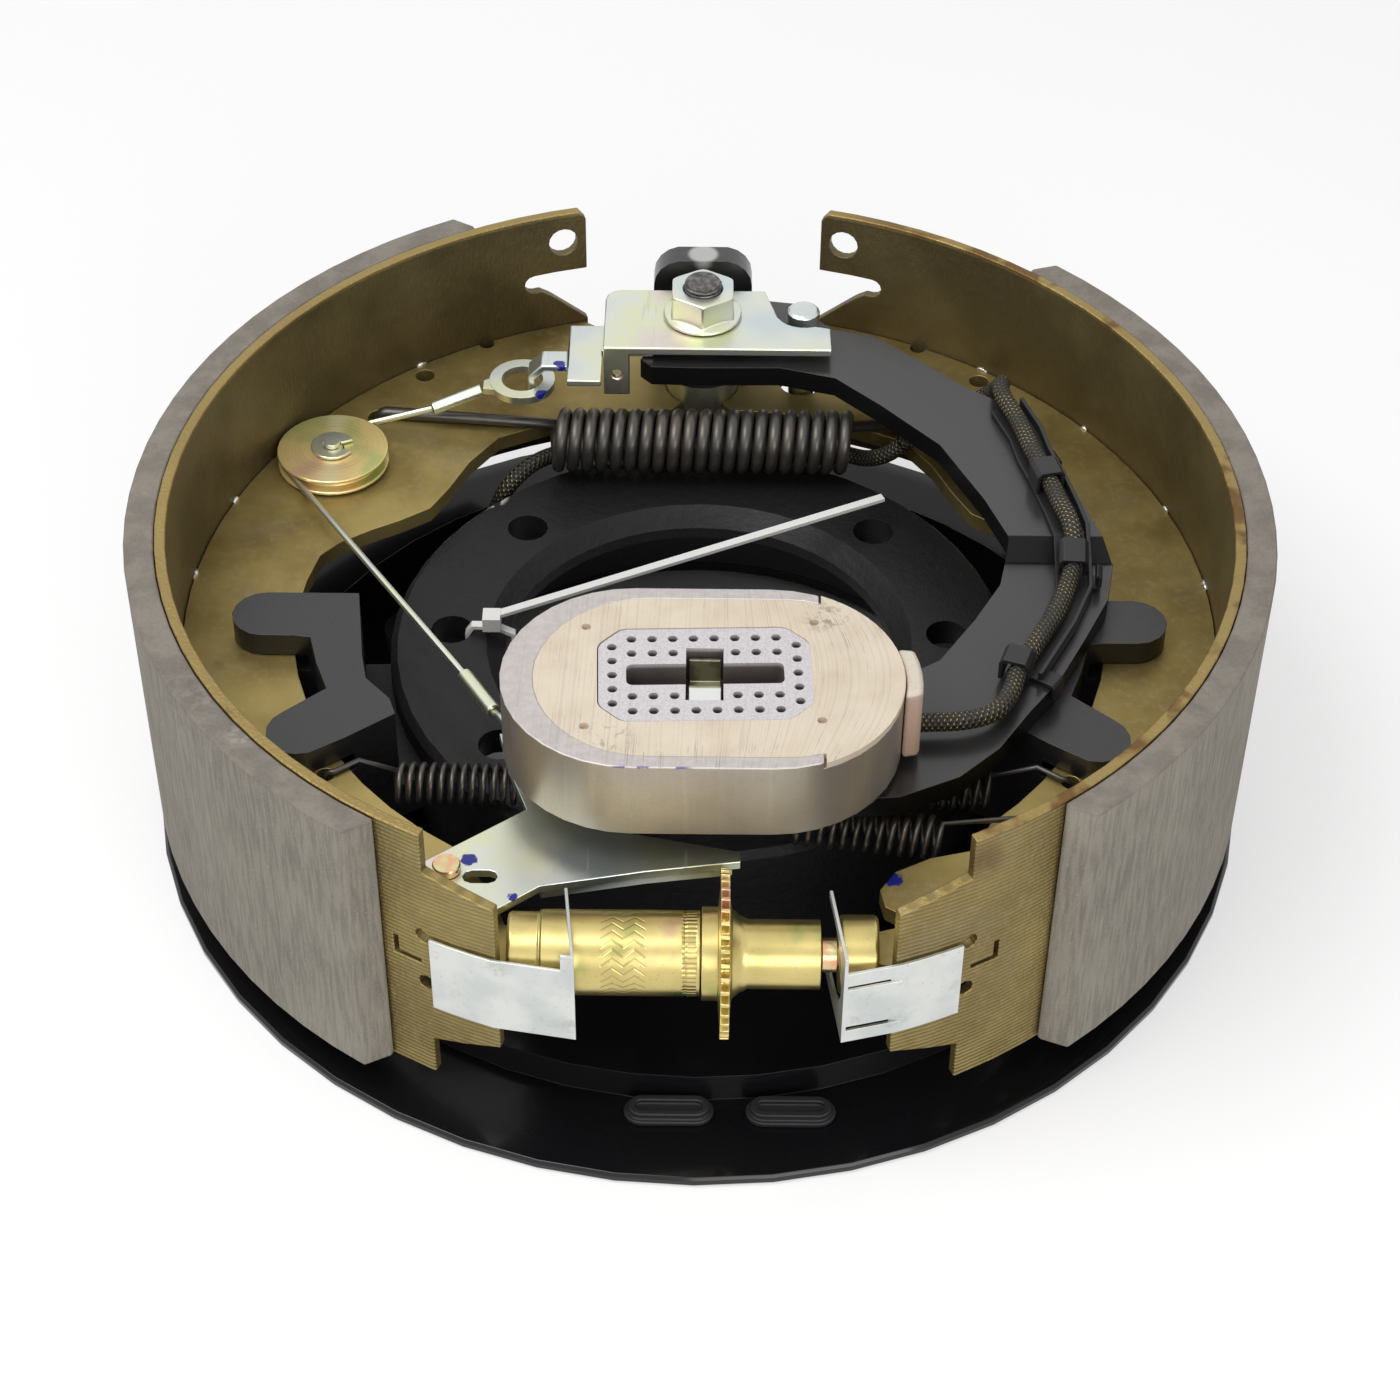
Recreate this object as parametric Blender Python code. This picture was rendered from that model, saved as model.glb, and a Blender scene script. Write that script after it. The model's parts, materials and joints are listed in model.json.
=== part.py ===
"""Electric trailer brake for a right-hand wheel, forward self-adjusting.

Twelve and a quarter inch drum, shoes three and three eighths wide. Lengths are in millimetres here and
become metres in the meshes. X points right, Y towards the anchor and Z up along the wheel axis.
The rim of the backing plate lies at height 0, and the wheel axis is at X 0, Y 0.
"""

import math

import bmesh
import bpy
from mathutils import Matrix, Vector

MM = 0.001
GAP = 0.3
RUN = 0.4
ROUND_STEPS = 48
SMALL_STEPS = 16
ARC_STEP = 6.0
SHARP = 35.0
QUARTER = 90.0
HALF = 180.0
FULL = 360.0

# Backing plate, a stamped dish
PLATE_R = 155.5
PLATE_THICK = 3.0
PLATE_RISE = 7.0
PLATE_STEP_R = 127.5
PLATE_SLOPE = 1.8
PLATE_TOP = PLATE_RISE + PLATE_THICK

# Spider, the casting that bolts to the axle
FLANGE_HIGH = 50.0
FLANGE_THICK = 8.5
BORE_R = 55.0
BORE_CHAMFER = 5.0
SKIRT_R = 87.0
SKIRT_THICK = 6.0
BOLT_CIRCLE_R = 70.0
BOLT_HOLE_R = 5.9
BOLT_TURNS = (46.5, 88.0, 129.7, 180.0, 230.3, 272.0, 313.5)
FLANGE_LOW = FLANGE_HIGH - FLANGE_THICK
SKIRT_IN = SKIRT_R - SKIRT_THICK
SKIRT_LOW = PLATE_TOP + GAP

# Shoes
LINING_R = 154.75
LINING_THICK = 7.85
TABLE_THICK = 2.9
SHOE_LOW = 15.0
SHOE_HIGH = 100.7
WEB_MID = (SHOE_LOW + SHOE_HIGH) / 2
WEB_THICK = 4.8
WEB_INNER_R = 113.0
LINING_IN = LINING_R - LINING_THICK
TABLE_OUT = LINING_IN - GAP
TABLE_IN = TABLE_OUT - TABLE_THICK
WEB_OUT = TABLE_IN - GAP
WEB_LOW = WEB_MID - WEB_THICK / 2
WEB_HIGH = WEB_MID + WEB_THICK / 2
LINING_CHAMFER = 1.4

# Anchor stud and what it holds
ANCHOR = (0.0, 106.3)
STUD_R = 8.0
COLLAR_R = 11.0
STUD_THREAD_R = 5.5
STUD_HIGH = 98.4
PEDESTAL_HIGH = WEB_LOW - 0.85

# Actuating arm, a thick bent plate
ARM_THICK = 6.5
ARM_LOW = 68.0
ARM_JOG = 5.8
ARM_BEND_BACK = 10.0
ARM_BEND_FRONT = 5.0
ARM_UP = ARM_LOW + ARM_JOG
ARM_TOP_FRONT = ARM_LOW + ARM_THICK
ARM_TOP_BACK = ARM_UP + ARM_THICK
CAM_PIN = (30.4, 109.0)
CAM_PIN_R = 4.0

# Anchor plate
ANCHOR_PLATE_THICK = 2.6
ANCHOR_PLATE_LOW = ARM_TOP_BACK + 2.9
ANCHOR_PLATE_HIGH = ANCHOR_PLATE_LOW + ANCHOR_PLATE_THICK

# Magnet
MAGNET = (0.9, -71.0)
MAGNET_LONG = 51.5
MAGNET_WIDE = 34.0
MAGNET_LOW = ARM_TOP_FRONT + 2.0
MAGNET_HIGH = 99.5
FACE_SHIFT = 3.8
FACE_LONG = 46.6
FACE_WIDE = 29.5
FACE_LIP = 1.8
FACE_LIP_TURN = 67.0

# Adjuster, on an axis along X
ADJUSTER_Y = -128.0
ADJUSTER_Z = WEB_MID
BARREL_R = 10.7
BARREL_LEFT = -46.7
BARREL_RIGHT = 1.0
SHANK_R = 5.7
STAR_R = 21.3
STAR_THICK = 3.4
STAR_LEFT = 5.4
STAR_TEETH = 38
STAR_TOOTH = 3.2
SCREW_BODY_R = 8.7
SCREW_BODY_RIGHT = 30.8
CAP_R = 10.0
CAP_LEFT = 35.3
CAP_RIGHT = 45.1
TONGUE_SLOT = WEB_THICK + 2 * GAP

# Pulley and cable
PULLEY = (-108.6, 64.8)
PULLEY_R = 16.3
PULLEY_GROOVE_R = 13.5
PULLEY_THICK = 5.0
PULLEY_LOW = WEB_HIGH + 0.75
PULLEY_PIN_R = 3.0
CABLE_R = 1.0
CABLE_Z = PULLEY_LOW + PULLEY_THICK / 2
CABLE_WRAP_R = PULLEY_GROOVE_R + GAP + CABLE_R

# Adjuster lever
LEVER_PIN = (-62.9, -108.4)
LEVER_PIN_R = 3.0
LEVER_LOW = 64.0
LEVER_THICK = 2.5
LEVER_HIGH = LEVER_LOW + LEVER_THICK

# Springs
RETURN_WIRE_R = 1.75
RETURN_COIL_R = 8.0
RETURN_TURNS = 21
RETURN_HALF = 44.0
RETURN_Y = 75.0
RETURN_HOOK = (97.0, 87.6)
SHOE_WIRE_R = 0.8
SHOE_COIL_R = 4.95
SHOE_HOOK = (98.0, -68.0)
LEVER_COIL_R = 5.2

# Lead
LEAD_R = 2.5
GROMMET_R = 104.0
GROMMET_TURN = 130.0


def polar(radius, degrees, centre=(0.0, 0.0)):
    """The point at this radius and angle round a centre."""
    turn = math.radians(degrees)
    return (centre[0] + radius * math.cos(turn), centre[1] + radius * math.sin(turn))


def arc(radius, start, end, centre=(0.0, 0.0), step=ARC_STEP):
    """Points along an arc, both ends included."""
    count = max(1, round(abs(end - start) / step))
    return [polar(radius, start + (end - start) * i / count, centre) for i in range(count + 1)]


def stadium(centre, half_long, half_wide, step=15.0):
    """Outline with two round ends, its long axis along X."""
    reach = half_long - half_wide
    right = arc(half_wide, -QUARTER, QUARTER, (centre[0] + reach, centre[1]), step)
    left = arc(half_wide, QUARTER, QUARTER + HALF, (centre[0] - reach, centre[1]), step)
    return right + left


def box_outline(left, right, front, back):
    return [(left, front), (right, front), (right, back), (left, back)]


def mirrored(points):
    """The same outline on the other side of the YZ plane."""
    return [(-x, y) for x, y in reversed(points)]


def strip(path, thick):
    """Outline of a bent sheet seen on its edge: the path, and the path moved to its left."""
    corners = [Vector(point) for point in path]
    normals = []
    for first, second in zip(corners, corners[1:]):
        along = (second - first).normalized()
        normals.append(Vector((-along.y, along.x)))
    other = []
    for i, corner in enumerate(corners):
        before = normals[max(i - 1, 0)]
        after = normals[min(i, len(normals) - 1)]
        middle = (before + after).normalized()
        other.append(corner + middle * thick / middle.dot(before))
    return [tuple(point) for point in corners] + [tuple(point) for point in reversed(other)]


def smooth_route(points, step):
    """Points at an even spacing on one smooth curve through the route's own points."""
    route = [Vector(point) for point in points]
    ends = [route[0] * 2 - route[1]] + route + [route[-1] * 2 - route[-2]]
    fine = [route[0]]
    for before, here, there, after in zip(ends, ends[1:], ends[2:], ends[3:]):
        count = max(1, round((there - here).length / step))
        for i in range(1, count + 1):
            t = i / count
            fine.append(
                0.5
                * (
                    2 * here
                    + (there - before) * t
                    + (2 * before - 5 * here + 4 * there - after) * t**2
                    + (3 * here - before - 3 * there + after) * t**3
                )
            )
    return fine


def coil(start, end, radius, turns, phase=QUARTER, per_turn=8):
    """Points of a helix round the line from start to end, starting at the side the phase gives."""
    first = Vector(start)
    axis = Vector(end) - first
    side = Vector((0, 0, 1)).cross(axis).normalized() if axis.x or axis.y else Vector((1, 0, 0))
    rise = axis.normalized().cross(side)
    count = turns * per_turn
    points = []
    for i in range(count + 1):
        turn = math.radians(phase) + 2 * math.pi * i / per_turn
        around = side * math.sin(turn) + rise * math.cos(turn)
        points.append(first + axis * i / count + around * radius)
    return points


def prism(outline, low, high, turn=None):
    """Closed solid from an outline in XY between two heights."""
    bm = bmesh.new()
    base = bm.faces.new([bm.verts.new((x, y, low)) for x, y in outline])
    grown = bmesh.ops.extrude_face_region(bm, geom=[base])
    raised = [item for item in grown["geom"] if isinstance(item, bmesh.types.BMVert)]
    bmesh.ops.translate(bm, vec=(0, 0, high - low), verts=raised)
    if turn:
        bm.transform(turn)
    bm.normal_update()
    bmesh.ops.recalc_face_normals(bm, faces=bm.faces)
    return bm


def turned(profile, turn=None, steps=ROUND_STEPS):
    """Closed solid from a closed profile of (radius, height) spun about Z."""
    bm = bmesh.new()
    verts = [bm.verts.new((radius, 0, height)) for radius, height in profile]
    edges = []
    for first, second in zip(verts, verts[1:] + verts[:1]):
        if first.co.x > 0 or second.co.x > 0:
            edges.append(bm.edges.new((first, second)))
    bmesh.ops.spin(
        bm, geom=verts + edges, cent=(0, 0, 0), axis=(0, 0, 1), angle=2 * math.pi, steps=steps, use_merge=True
    )
    bmesh.ops.remove_doubles(bm, verts=bm.verts, dist=GAP / 1000)
    bmesh.ops.dissolve_degenerate(bm, edges=bm.edges, dist=GAP / 1000)
    if turn:
        bm.transform(turn)
    bm.normal_update()
    bmesh.ops.recalc_face_normals(bm, faces=bm.faces)
    return bm


def disc(centre, radius, low, high, steps=SMALL_STEPS):
    """Upright cylinder."""
    return prism(arc(radius, 0, FULL - FULL / steps, centre, FULL / steps), low, high)


def at(x, y, z=0.0):
    return Matrix.Translation((x, y, z))


def along_x(y, z):
    """Turns a piece made along Z so that its axis runs along X at this place."""
    return at(0, y, z) @ Matrix.Rotation(math.radians(QUARTER), 4, "Y")


def facing_front(y):
    """Turns an outline in XY upright, so that it is drawn in X and Z and grows towards the back from y."""
    return at(0, y, 0) @ Matrix(((1, 0, 0, 0), (0, 0, 1, 0), (0, 1, 0, 0), (0, 0, 0, 1)))


def facing_side(x):
    """Turns an outline upright, so that it is drawn in Y and Z and grows towards the right from x."""
    return at(x, 0, 0) @ Matrix(((0, 0, 1, 0), (1, 0, 0, 0), (0, 1, 0, 0), (0, 0, 0, 1)))


def together(*shapes):
    """One mesh of several separate closed shapes."""
    whole = bmesh.new()
    for shape in shapes:
        scratch = bpy.data.meshes.new("scratch")
        shape.to_mesh(scratch)
        whole.from_mesh(scratch)
        bpy.data.meshes.remove(scratch)
        shape.free()
    return whole


def material(name, colour, roughness, metallic=0.0):
    """A plain finish."""
    made = bpy.data.materials.new(name)
    made.use_nodes = True
    shader = made.node_tree.nodes["Principled BSDF"]
    shader.inputs["Base Color"].default_value = (*colour, 1.0)
    shader.inputs["Roughness"].default_value = roughness
    shader.inputs["Metallic"].default_value = metallic
    return made


def axis_point(name, place, carrier=None):
    """An empty on a joint's axis, which carries the pieces that move with it."""
    empty = bpy.data.objects.new(name, None)
    bpy.context.collection.objects.link(empty)
    empty["place"] = place
    if carrier:
        empty.parent = carrier
        place = [mine - its for mine, its in zip(place, carrier["place"])]
    empty.location = [value * MM for value in place]
    return empty


def piece(name, shape, finish, carrier=None):
    """An object in metres from a shape in millimetres, carried by an axis point or by the frame."""
    if carrier:
        shape.transform(at(*(-value for value in carrier["place"])))
    shape.transform(Matrix.Scale(MM, 4))
    mesh = bpy.data.meshes.new(name)
    shape.to_mesh(mesh)
    shape.free()
    mesh.shade_smooth()
    mesh.set_sharp_from_angle(angle=math.radians(SHARP))
    mesh.materials.append(finish)
    made = bpy.data.objects.new(name, mesh)
    made.parent = carrier
    bpy.context.collection.objects.link(made)
    return made


def combine(target, shape, operation):
    """Joins a shape to an object, or cuts it away."""
    tool = piece(target.name + "_" + operation.lower(), shape, target.data.materials[0])
    tool.hide_render = True
    tool.display_type = "WIRE"
    step = target.modifiers.new(operation, "BOOLEAN")
    step.operation = operation
    step.object = tool


def join(target, shape):
    combine(target, shape, "UNION")


def cut(target, shape):
    combine(target, shape, "DIFFERENCE")


def wire(name, points, radius, finish, sides=2, carrier=None):
    """A round wire along points, with closed ends."""
    base = Vector(carrier["place"]) if carrier else Vector((0, 0, 0))
    data = bpy.data.curves.new(name, "CURVE")
    data.dimensions = "3D"
    data.bevel_depth = radius * MM
    data.bevel_resolution = sides
    data.use_fill_caps = True
    spline = data.splines.new("POLY")
    spline.points.add(len(points) - 1)
    for knot, point in zip(spline.points, points):
        knot.co = (*((Vector(point) - base) * MM), 1.0)
    data.materials.append(finish)
    made = bpy.data.objects.new(name, data)
    made.parent = carrier
    bpy.context.collection.objects.link(made)
    return made


def finishes():
    """The colours of the real pieces."""
    return {
        "black_gloss": material("black_gloss", (0.010, 0.010, 0.011), 0.22),
        "black_cast": material("black_cast", (0.016, 0.016, 0.017), 0.38),
        "olive_zinc": material("olive_zinc", (0.30, 0.25, 0.13), 0.42, 0.8),
        "lining": material("lining", (0.20, 0.185, 0.17), 0.9),
        "bright_zinc": material("bright_zinc", (0.72, 0.74, 0.74), 0.3, 0.9),
        "yellow_zinc": material("yellow_zinc", (0.72, 0.58, 0.28), 0.28, 0.9),
        "copper": material("copper", (0.75, 0.36, 0.22), 0.3, 0.9),
        "spring_steel": material("spring_steel", (0.09, 0.085, 0.08), 0.45, 0.6),
        "magnet_steel": material("magnet_steel", (0.55, 0.52, 0.50), 0.4, 0.8),
        "friction_cream": material("friction_cream", (0.72, 0.62, 0.52), 0.7),
        "rubber": material("rubber", (0.015, 0.015, 0.016), 0.6),
        "black_plastic": material("black_plastic", (0.017, 0.017, 0.018), 0.5),
        "sleeve": material("sleeve", (0.03, 0.028, 0.02), 0.6),
        "nylon": material("nylon", (0.85, 0.85, 0.82), 0.45),
    }


PLUG_X = (-6.7, 24.9)
PLUG_Y = -133.8
PLUG_LONG = 11.7
PLUG_WIDE = 4.6
PLUG_BODY = 3.0
EAR_TURNS = (25.0, 155.0, 205.0, 335.0)
EAR_R = 95.0
EAR_ROUND = 8.0
EAR_HIGH = 18.0
RIVET_R = 3.0
RIVET_HEAD_R = 5.2
RIVET_HEAD = 2.4


def plug_outline(x, grow):
    return stadium((x, PLUG_Y), PLUG_LONG + grow, PLUG_WIDE + grow, 22.5)


def backing_plate(finish):
    """Stamped dish: a flat outer ring on the floor and a raised middle."""
    profile = [
        (SKIRT_IN, PLATE_RISE),
        (PLATE_STEP_R - PLATE_THICK / 2, PLATE_RISE),
        (PLATE_STEP_R + PLATE_SLOPE - PLATE_THICK / 2, 0),
        (PLATE_R - PLATE_THICK / 4, 0),
        (PLATE_R, PLATE_THICK / 4),
        (PLATE_R, PLATE_THICK * 3 / 4),
        (PLATE_R - PLATE_THICK / 4, PLATE_THICK),
        (PLATE_STEP_R + PLATE_SLOPE, PLATE_THICK),
        (PLATE_STEP_R, PLATE_TOP),
        (SKIRT_IN, PLATE_TOP),
    ]
    plate = piece("backing_plate", turned(profile), finish)
    holes = [prism(plug_outline(x, GAP - PLUG_BODY / 2), -PLATE_RISE, PLATE_TOP) for x in PLUG_X]
    holes.append(disc(polar(GROMMET_R, GROMMET_TURN), LEAD_R * 2 + GAP, 0, FLANGE_HIGH))
    holes += [disc(polar(EAR_R, turn), RIVET_R + GAP, 0, FLANGE_HIGH) for turn in EAR_TURNS]
    cut(plate, together(*holes))


def access_plug(name, x, finish):
    """Rubber plug: a flange on the plate, a raised grip and a body in the slot."""
    low = PLATE_THICK + GAP
    plug = piece(name, prism(plug_outline(x, 0), low, low + 1.4), finish)
    join(plug, prism(plug_outline(x, -PLUG_BODY / 2), GAP, low + 0.6))
    join(plug, prism(plug_outline(x, -PLUG_BODY * 0.4), low + 0.7, low + 3.2))
    cut(plug, prism(plug_outline(x, -PLUG_BODY), low + 1.8, low + 4.0))


def plate_rivet(name, turn, finish):
    """Rivet through an ear of the spider and the plate."""
    top = EAR_HIGH + GAP
    foot = PLATE_RISE - GAP
    profile = [
        (0, foot - RIVET_HEAD),
        (RIVET_HEAD_R, foot - RIVET_HEAD),
        (RIVET_HEAD_R, foot),
        (RIVET_R, foot),
        (RIVET_R, top),
        (RIVET_HEAD_R, top),
        (RIVET_HEAD_R * 0.7, top + RIVET_HEAD * 0.8),
        (0, top + RIVET_HEAD),
    ]
    piece(name, turned(profile, at(*polar(EAR_R, turn)), SMALL_STEPS), finish)


LOBE_LOW = WEB_HIGH + 0.4
LOBE_HIGH = ARM_LOW - GAP
LOBE_R = 9.0
FINGER_LOW = 46.0
WING_LOW = 28.0
WING_IN_R = 95.0
WING_OUT_R = 109.3
REAR_LOBE = (-119.6, -12.0)
FRONT_LOBE = (-105.0, -59.0)
TOWER_WIDE = 22.0
TOWER_FRONT = 78.0
PEDESTAL_FRONT = 92.0
EAR_FRONT = 125.0
EAR_THICK = 8.0
LUG_R = 15.0
LUG_MID = 83.4
LUG_TOP_R = 9.0


def wing_outline():
    """One side's guide bar with its two round lobes, seen from above."""
    rear = arc(LOBE_R, QUARTER, QUARTER + HALF, REAR_LOBE, 22.5)
    front = arc(LOBE_R, 125.0, 290.0, FRONT_LOBE, 22.5)
    bar_out = arc(WING_OUT_R - 1.0, 191.5, 203.0)
    bar_in = [(-92.9, -61.5), (-80.5, -52.0), (-82.5, -46.0), (-89.5, -38.0), (-91.3, -29.0), (-94.5, -3.0)]
    return rear + [(-110.5, REAR_LOBE[1] - LOBE_R)] + bar_out + front + bar_in


def spider_hub():
    """Hat-shaped middle: bolt flange, bore and skirt."""
    return turned(
        [
            (BORE_R, FLANGE_LOW),
            (SKIRT_IN, FLANGE_LOW),
            (SKIRT_IN, SKIRT_LOW),
            (SKIRT_R, SKIRT_LOW),
            (SKIRT_R, FLANGE_HIGH - 2.0),
            (SKIRT_R - 2.0, FLANGE_HIGH),
            (BORE_R + BORE_CHAMFER, FLANGE_HIGH),
            (BORE_R, FLANGE_HIGH - BORE_CHAMFER),
        ]
    )


def spider(finish):
    """Iron casting with guide lobes each side, an anchor pedestal and a lug behind it."""
    casting = piece("spider", spider_hub(), finish)
    shelf = arc(SKIRT_R - 3.0, 182.0, 213.0) + arc(WING_IN_R + 2.0, 213.0, 182.0)
    join(casting, together(prism(shelf, WING_LOW + 2.0, FLANGE_LOW), prism(mirrored(shelf), WING_LOW + 2.0, FLANGE_LOW)))
    wing = wing_outline()
    join(casting, together(prism(wing, WING_LOW, LOBE_HIGH), prism(mirrored(wing), WING_LOW, LOBE_HIGH)))
    tower = [
        (-TOWER_WIDE, TOWER_FRONT),
        (TOWER_WIDE, TOWER_FRONT),
        (TOWER_WIDE - 4.0, EAR_FRONT),
        (LUG_R, EAR_FRONT + EAR_THICK),
        (-LUG_R, EAR_FRONT + EAR_THICK),
        (4.0 - TOWER_WIDE, EAR_FRONT),
    ]
    join(casting, prism(tower, FLANGE_LOW + 0.5, FLANGE_HIGH - 0.4))
    pedestal = stadium((ANCHOR[0], (PEDESTAL_FRONT + EAR_FRONT) / 2), 18.0, 17.5)
    join(casting, prism(pedestal, FLANGE_HIGH - 2.0, PEDESTAL_HIGH))
    lug = [(-LUG_R, FLANGE_LOW + 3.0), (LUG_R, FLANGE_LOW + 3.0)]
    lug += arc(LUG_TOP_R, 0, 80.0, (LUG_R - LUG_TOP_R, LUG_MID), 20.0)
    lug += arc(LUG_TOP_R, 100.0, HALF, (LUG_TOP_R - LUG_R, LUG_MID), 20.0)
    join(casting, prism(lug, 0, EAR_THICK, facing_front(EAR_FRONT)))
    join(casting, prism(box_outline(-6.0, 6.0, SKIRT_R - 3.0, EAR_FRONT), SKIRT_LOW, FLANGE_LOW + 2.0))
    ears = [
        prism(
            arc(EAR_ROUND, turn - QUARTER, turn + QUARTER, polar(EAR_R, turn), 22.5)
            + [polar(SKIRT_R - 3.0, turn + 5.0), polar(SKIRT_R - 3.0, turn - 5.0)],
            SKIRT_LOW,
            EAR_HIGH,
        )
        for turn in EAR_TURNS
    ]
    join(casting, together(*ears))
    beyond = arc(WING_OUT_R, 172.0, 222.0) + arc(WING_OUT_R + LOBE_R * 3, 222.0, 172.0)
    for side in (-1, 1):
        sector = shoe_side(beyond, side)
        cut(casting, prism(sector, WEB_LOW - RUN, LOBE_LOW))
        cut(casting, prism(sector, WING_LOW / 2, FINGER_LOW))
    holes = []
    for turn in BOLT_TURNS:
        spot = polar(BOLT_CIRCLE_R, QUARTER + turn)
        holes.append(disc(spot, BOLT_HOLE_R, WING_LOW, WING_LOW * 2))
    holes.append(disc(ANCHOR, STUD_R + GAP, FLANGE_LOW + 0.2, WEB_HIGH))
    holes += [disc(polar(EAR_R, turn), RIVET_R + GAP, 0, WING_LOW) for turn in EAR_TURNS]
    cut(casting, together(*holes))


def anchor_stud(finish):
    """Stepped stud: seat in the pedestal, collar for the webs, neck for the arm and thread."""
    profile = [
        (0, FLANGE_LOW + 1.0),
        (STUD_R, FLANGE_LOW + 1.0),
        (STUD_R, PEDESTAL_HIGH + GAP),
        (COLLAR_R, PEDESTAL_HIGH + GAP),
        (COLLAR_R, ARM_LOW - 1.0),
        (STUD_R, ARM_LOW - 1.0),
        (STUD_R, ANCHOR_PLATE_LOW - GAP),
        (STUD_THREAD_R, ANCHOR_PLATE_LOW - GAP),
        (STUD_THREAD_R, STUD_HIGH - 1.0),
        (STUD_THREAD_R - 1.0, STUD_HIGH),
        (0, STUD_HIGH),
    ]
    piece("anchor_stud", turned(profile, at(*ANCHOR), 24), finish)


NUT_FLANGE_R = 11.85
NUT_FLANGE = 1.9
NUT_FLATS = 18.2
NUT_HIGH = 95.5


def anchor_nut(finish):
    """Hexagon nut with a washer face."""
    low = ANCHOR_PLATE_HIGH + GAP
    bore = STUD_THREAD_R + GAP
    corner = NUT_FLATS / 2 / math.cos(math.radians(30.0))
    flange = [
        (0, low),
        (NUT_FLANGE_R, low),
        (NUT_FLANGE_R, low + 0.9),
        (NUT_FLATS / 2 - 1.2, low + NUT_FLANGE + 0.6),
        (0, low + NUT_FLANGE + 0.6),
    ]
    nut = piece("anchor_nut", turned(flange, at(*ANCHOR), 24), finish)
    hexagon = arc(corner, 30.0, 330.0, ANCHOR, 60.0)
    join(nut, prism(hexagon, low + 0.5, NUT_HIGH))
    cut(nut, disc(ANCHOR, bore, low - 1.0, STUD_HIGH, 24))
    inner = NUT_FLATS / 2 + 0.2
    outer = corner + 2.0
    top = NUT_HIGH + 2.0
    crown = [(inner, NUT_HIGH + 0.4), (outer, NUT_HIGH - 2.1), (outer, top), (inner, top)]
    cut(nut, turned(crown, at(*ANCHOR), 24))


PLATE_LEFT = -29.4
PLATE_RIGHT = 38.4
PLATE_FRONT = 88.9
PLATE_BACK = 119.2
TAB_RIGHT = -21.6
TAB_LOW = 68.6
TAB_THICK = 2.4


def anchor_plate(finish):
    """Flat plate under the nut, with a tab bent down at its front left corner."""
    notch = arc(8.6, 205.0, 292.0, CAM_PIN, 14.5)
    corner = arc(5.0, QUARTER, HALF, (PLATE_LEFT + 5.0, PLATE_BACK - 5.0), 30.0)
    outline = [(PLATE_LEFT, PLATE_FRONT), (PLATE_RIGHT, PLATE_FRONT), (PLATE_RIGHT, 99.8)]
    outline += list(reversed(notch)) + [(18.9, PLATE_BACK)] + corner
    plate = piece("anchor_plate", prism(outline, ANCHOR_PLATE_LOW, ANCHOR_PLATE_HIGH), finish)
    tab = box_outline(PLATE_LEFT, TAB_RIGHT, PLATE_FRONT, PLATE_FRONT + TAB_THICK)
    join(plate, prism(tab, TAB_LOW, ANCHOR_PLATE_HIGH - 0.5))
    cut(plate, disc(ANCHOR, STUD_THREAD_R + GAP, TAB_LOW, STUD_HIGH))
    hole = arc(1.6, 0, FULL - 45.0, (-25.4, 76.0), 45.0)
    cut(plate, prism(hole, -TAB_THICK, TAB_THICK * 2, facing_front(PLATE_FRONT)))


HOOK_HIGH = ANCHOR_PLATE_LOW - 0.4
HOOK_THICK = 2.2
HOOK_LEFT = -39.8
HOOK_RIGHT = -14.5
HOOK_BACK = 104.5
TONGUE_LEFT = -50.6
TONGUE_FRONT = 83.7
TONGUE_BACK = 91.5
TONGUE_LOW = 69.5
EYELET = (-53.6, 87.6)
EYELET_Z = 74.0
EYELET_IN_R = 6.2
EYELET_OUT_R = 9.8
EYELET_THICK = 2.4


def cable_hook_plate(finish):
    """Plate beside the anchor with a tongue bent down through the cable's eyelet."""
    low = HOOK_HIGH - HOOK_THICK
    front = 76.5
    tab_back = PLATE_FRONT + TAB_THICK + GAP
    body = [(HOOK_LEFT, front), (PLATE_LEFT - GAP, front), (PLATE_LEFT - GAP, tab_back), (HOOK_RIGHT, tab_back)]
    body += [(HOOK_RIGHT, HOOK_BACK), (HOOK_LEFT, HOOK_BACK)]
    plate = piece("cable_hook_plate", prism(body, low, HOOK_HIGH), finish)
    side = [(HOOK_LEFT + 3.0, low), (TONGUE_LEFT + 4.0, low), (TONGUE_LEFT + 1.0, low - 3.0), (TONGUE_LEFT + 1.0, TONGUE_LOW)]
    tongue = strip(side, -HOOK_THICK * 0.95)
    join(plate, prism(tongue, 0, TONGUE_BACK - TONGUE_FRONT, facing_front(TONGUE_FRONT)))


def shoe_side(points, side):
    """An outline drawn for the left shoe, on the side that is asked for."""
    return mirrored(points) if side > 0 else points


RIM_TOP_TURN = 104.5
RIM_END_TURN = 250.5
RIM_SHOULDER_TURN = 243.0
TAB_HIGH_TIP = 81.3
TAB_HIGH_ROOT = 88.0


def rim_cutter(outline, turn):
    """A cutter through the table: the outline is drawn across and up, seen from outside at this angle."""
    depth = TABLE_THICK * 4
    outward = Matrix(((0, 0, 1, 0), (1, 0, 0, 0), (0, 1, 0, 0), (0, 0, 0, 1)))
    place = Matrix.Rotation(math.radians(turn), 4, "Z") @ at(TABLE_IN - depth / 3, 0, 0) @ outward
    return prism(outline, 0, depth, place)


def across(turn, centre):
    """Distance along the table from one angle to another."""
    return TABLE_OUT * math.radians(turn - centre)


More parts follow.
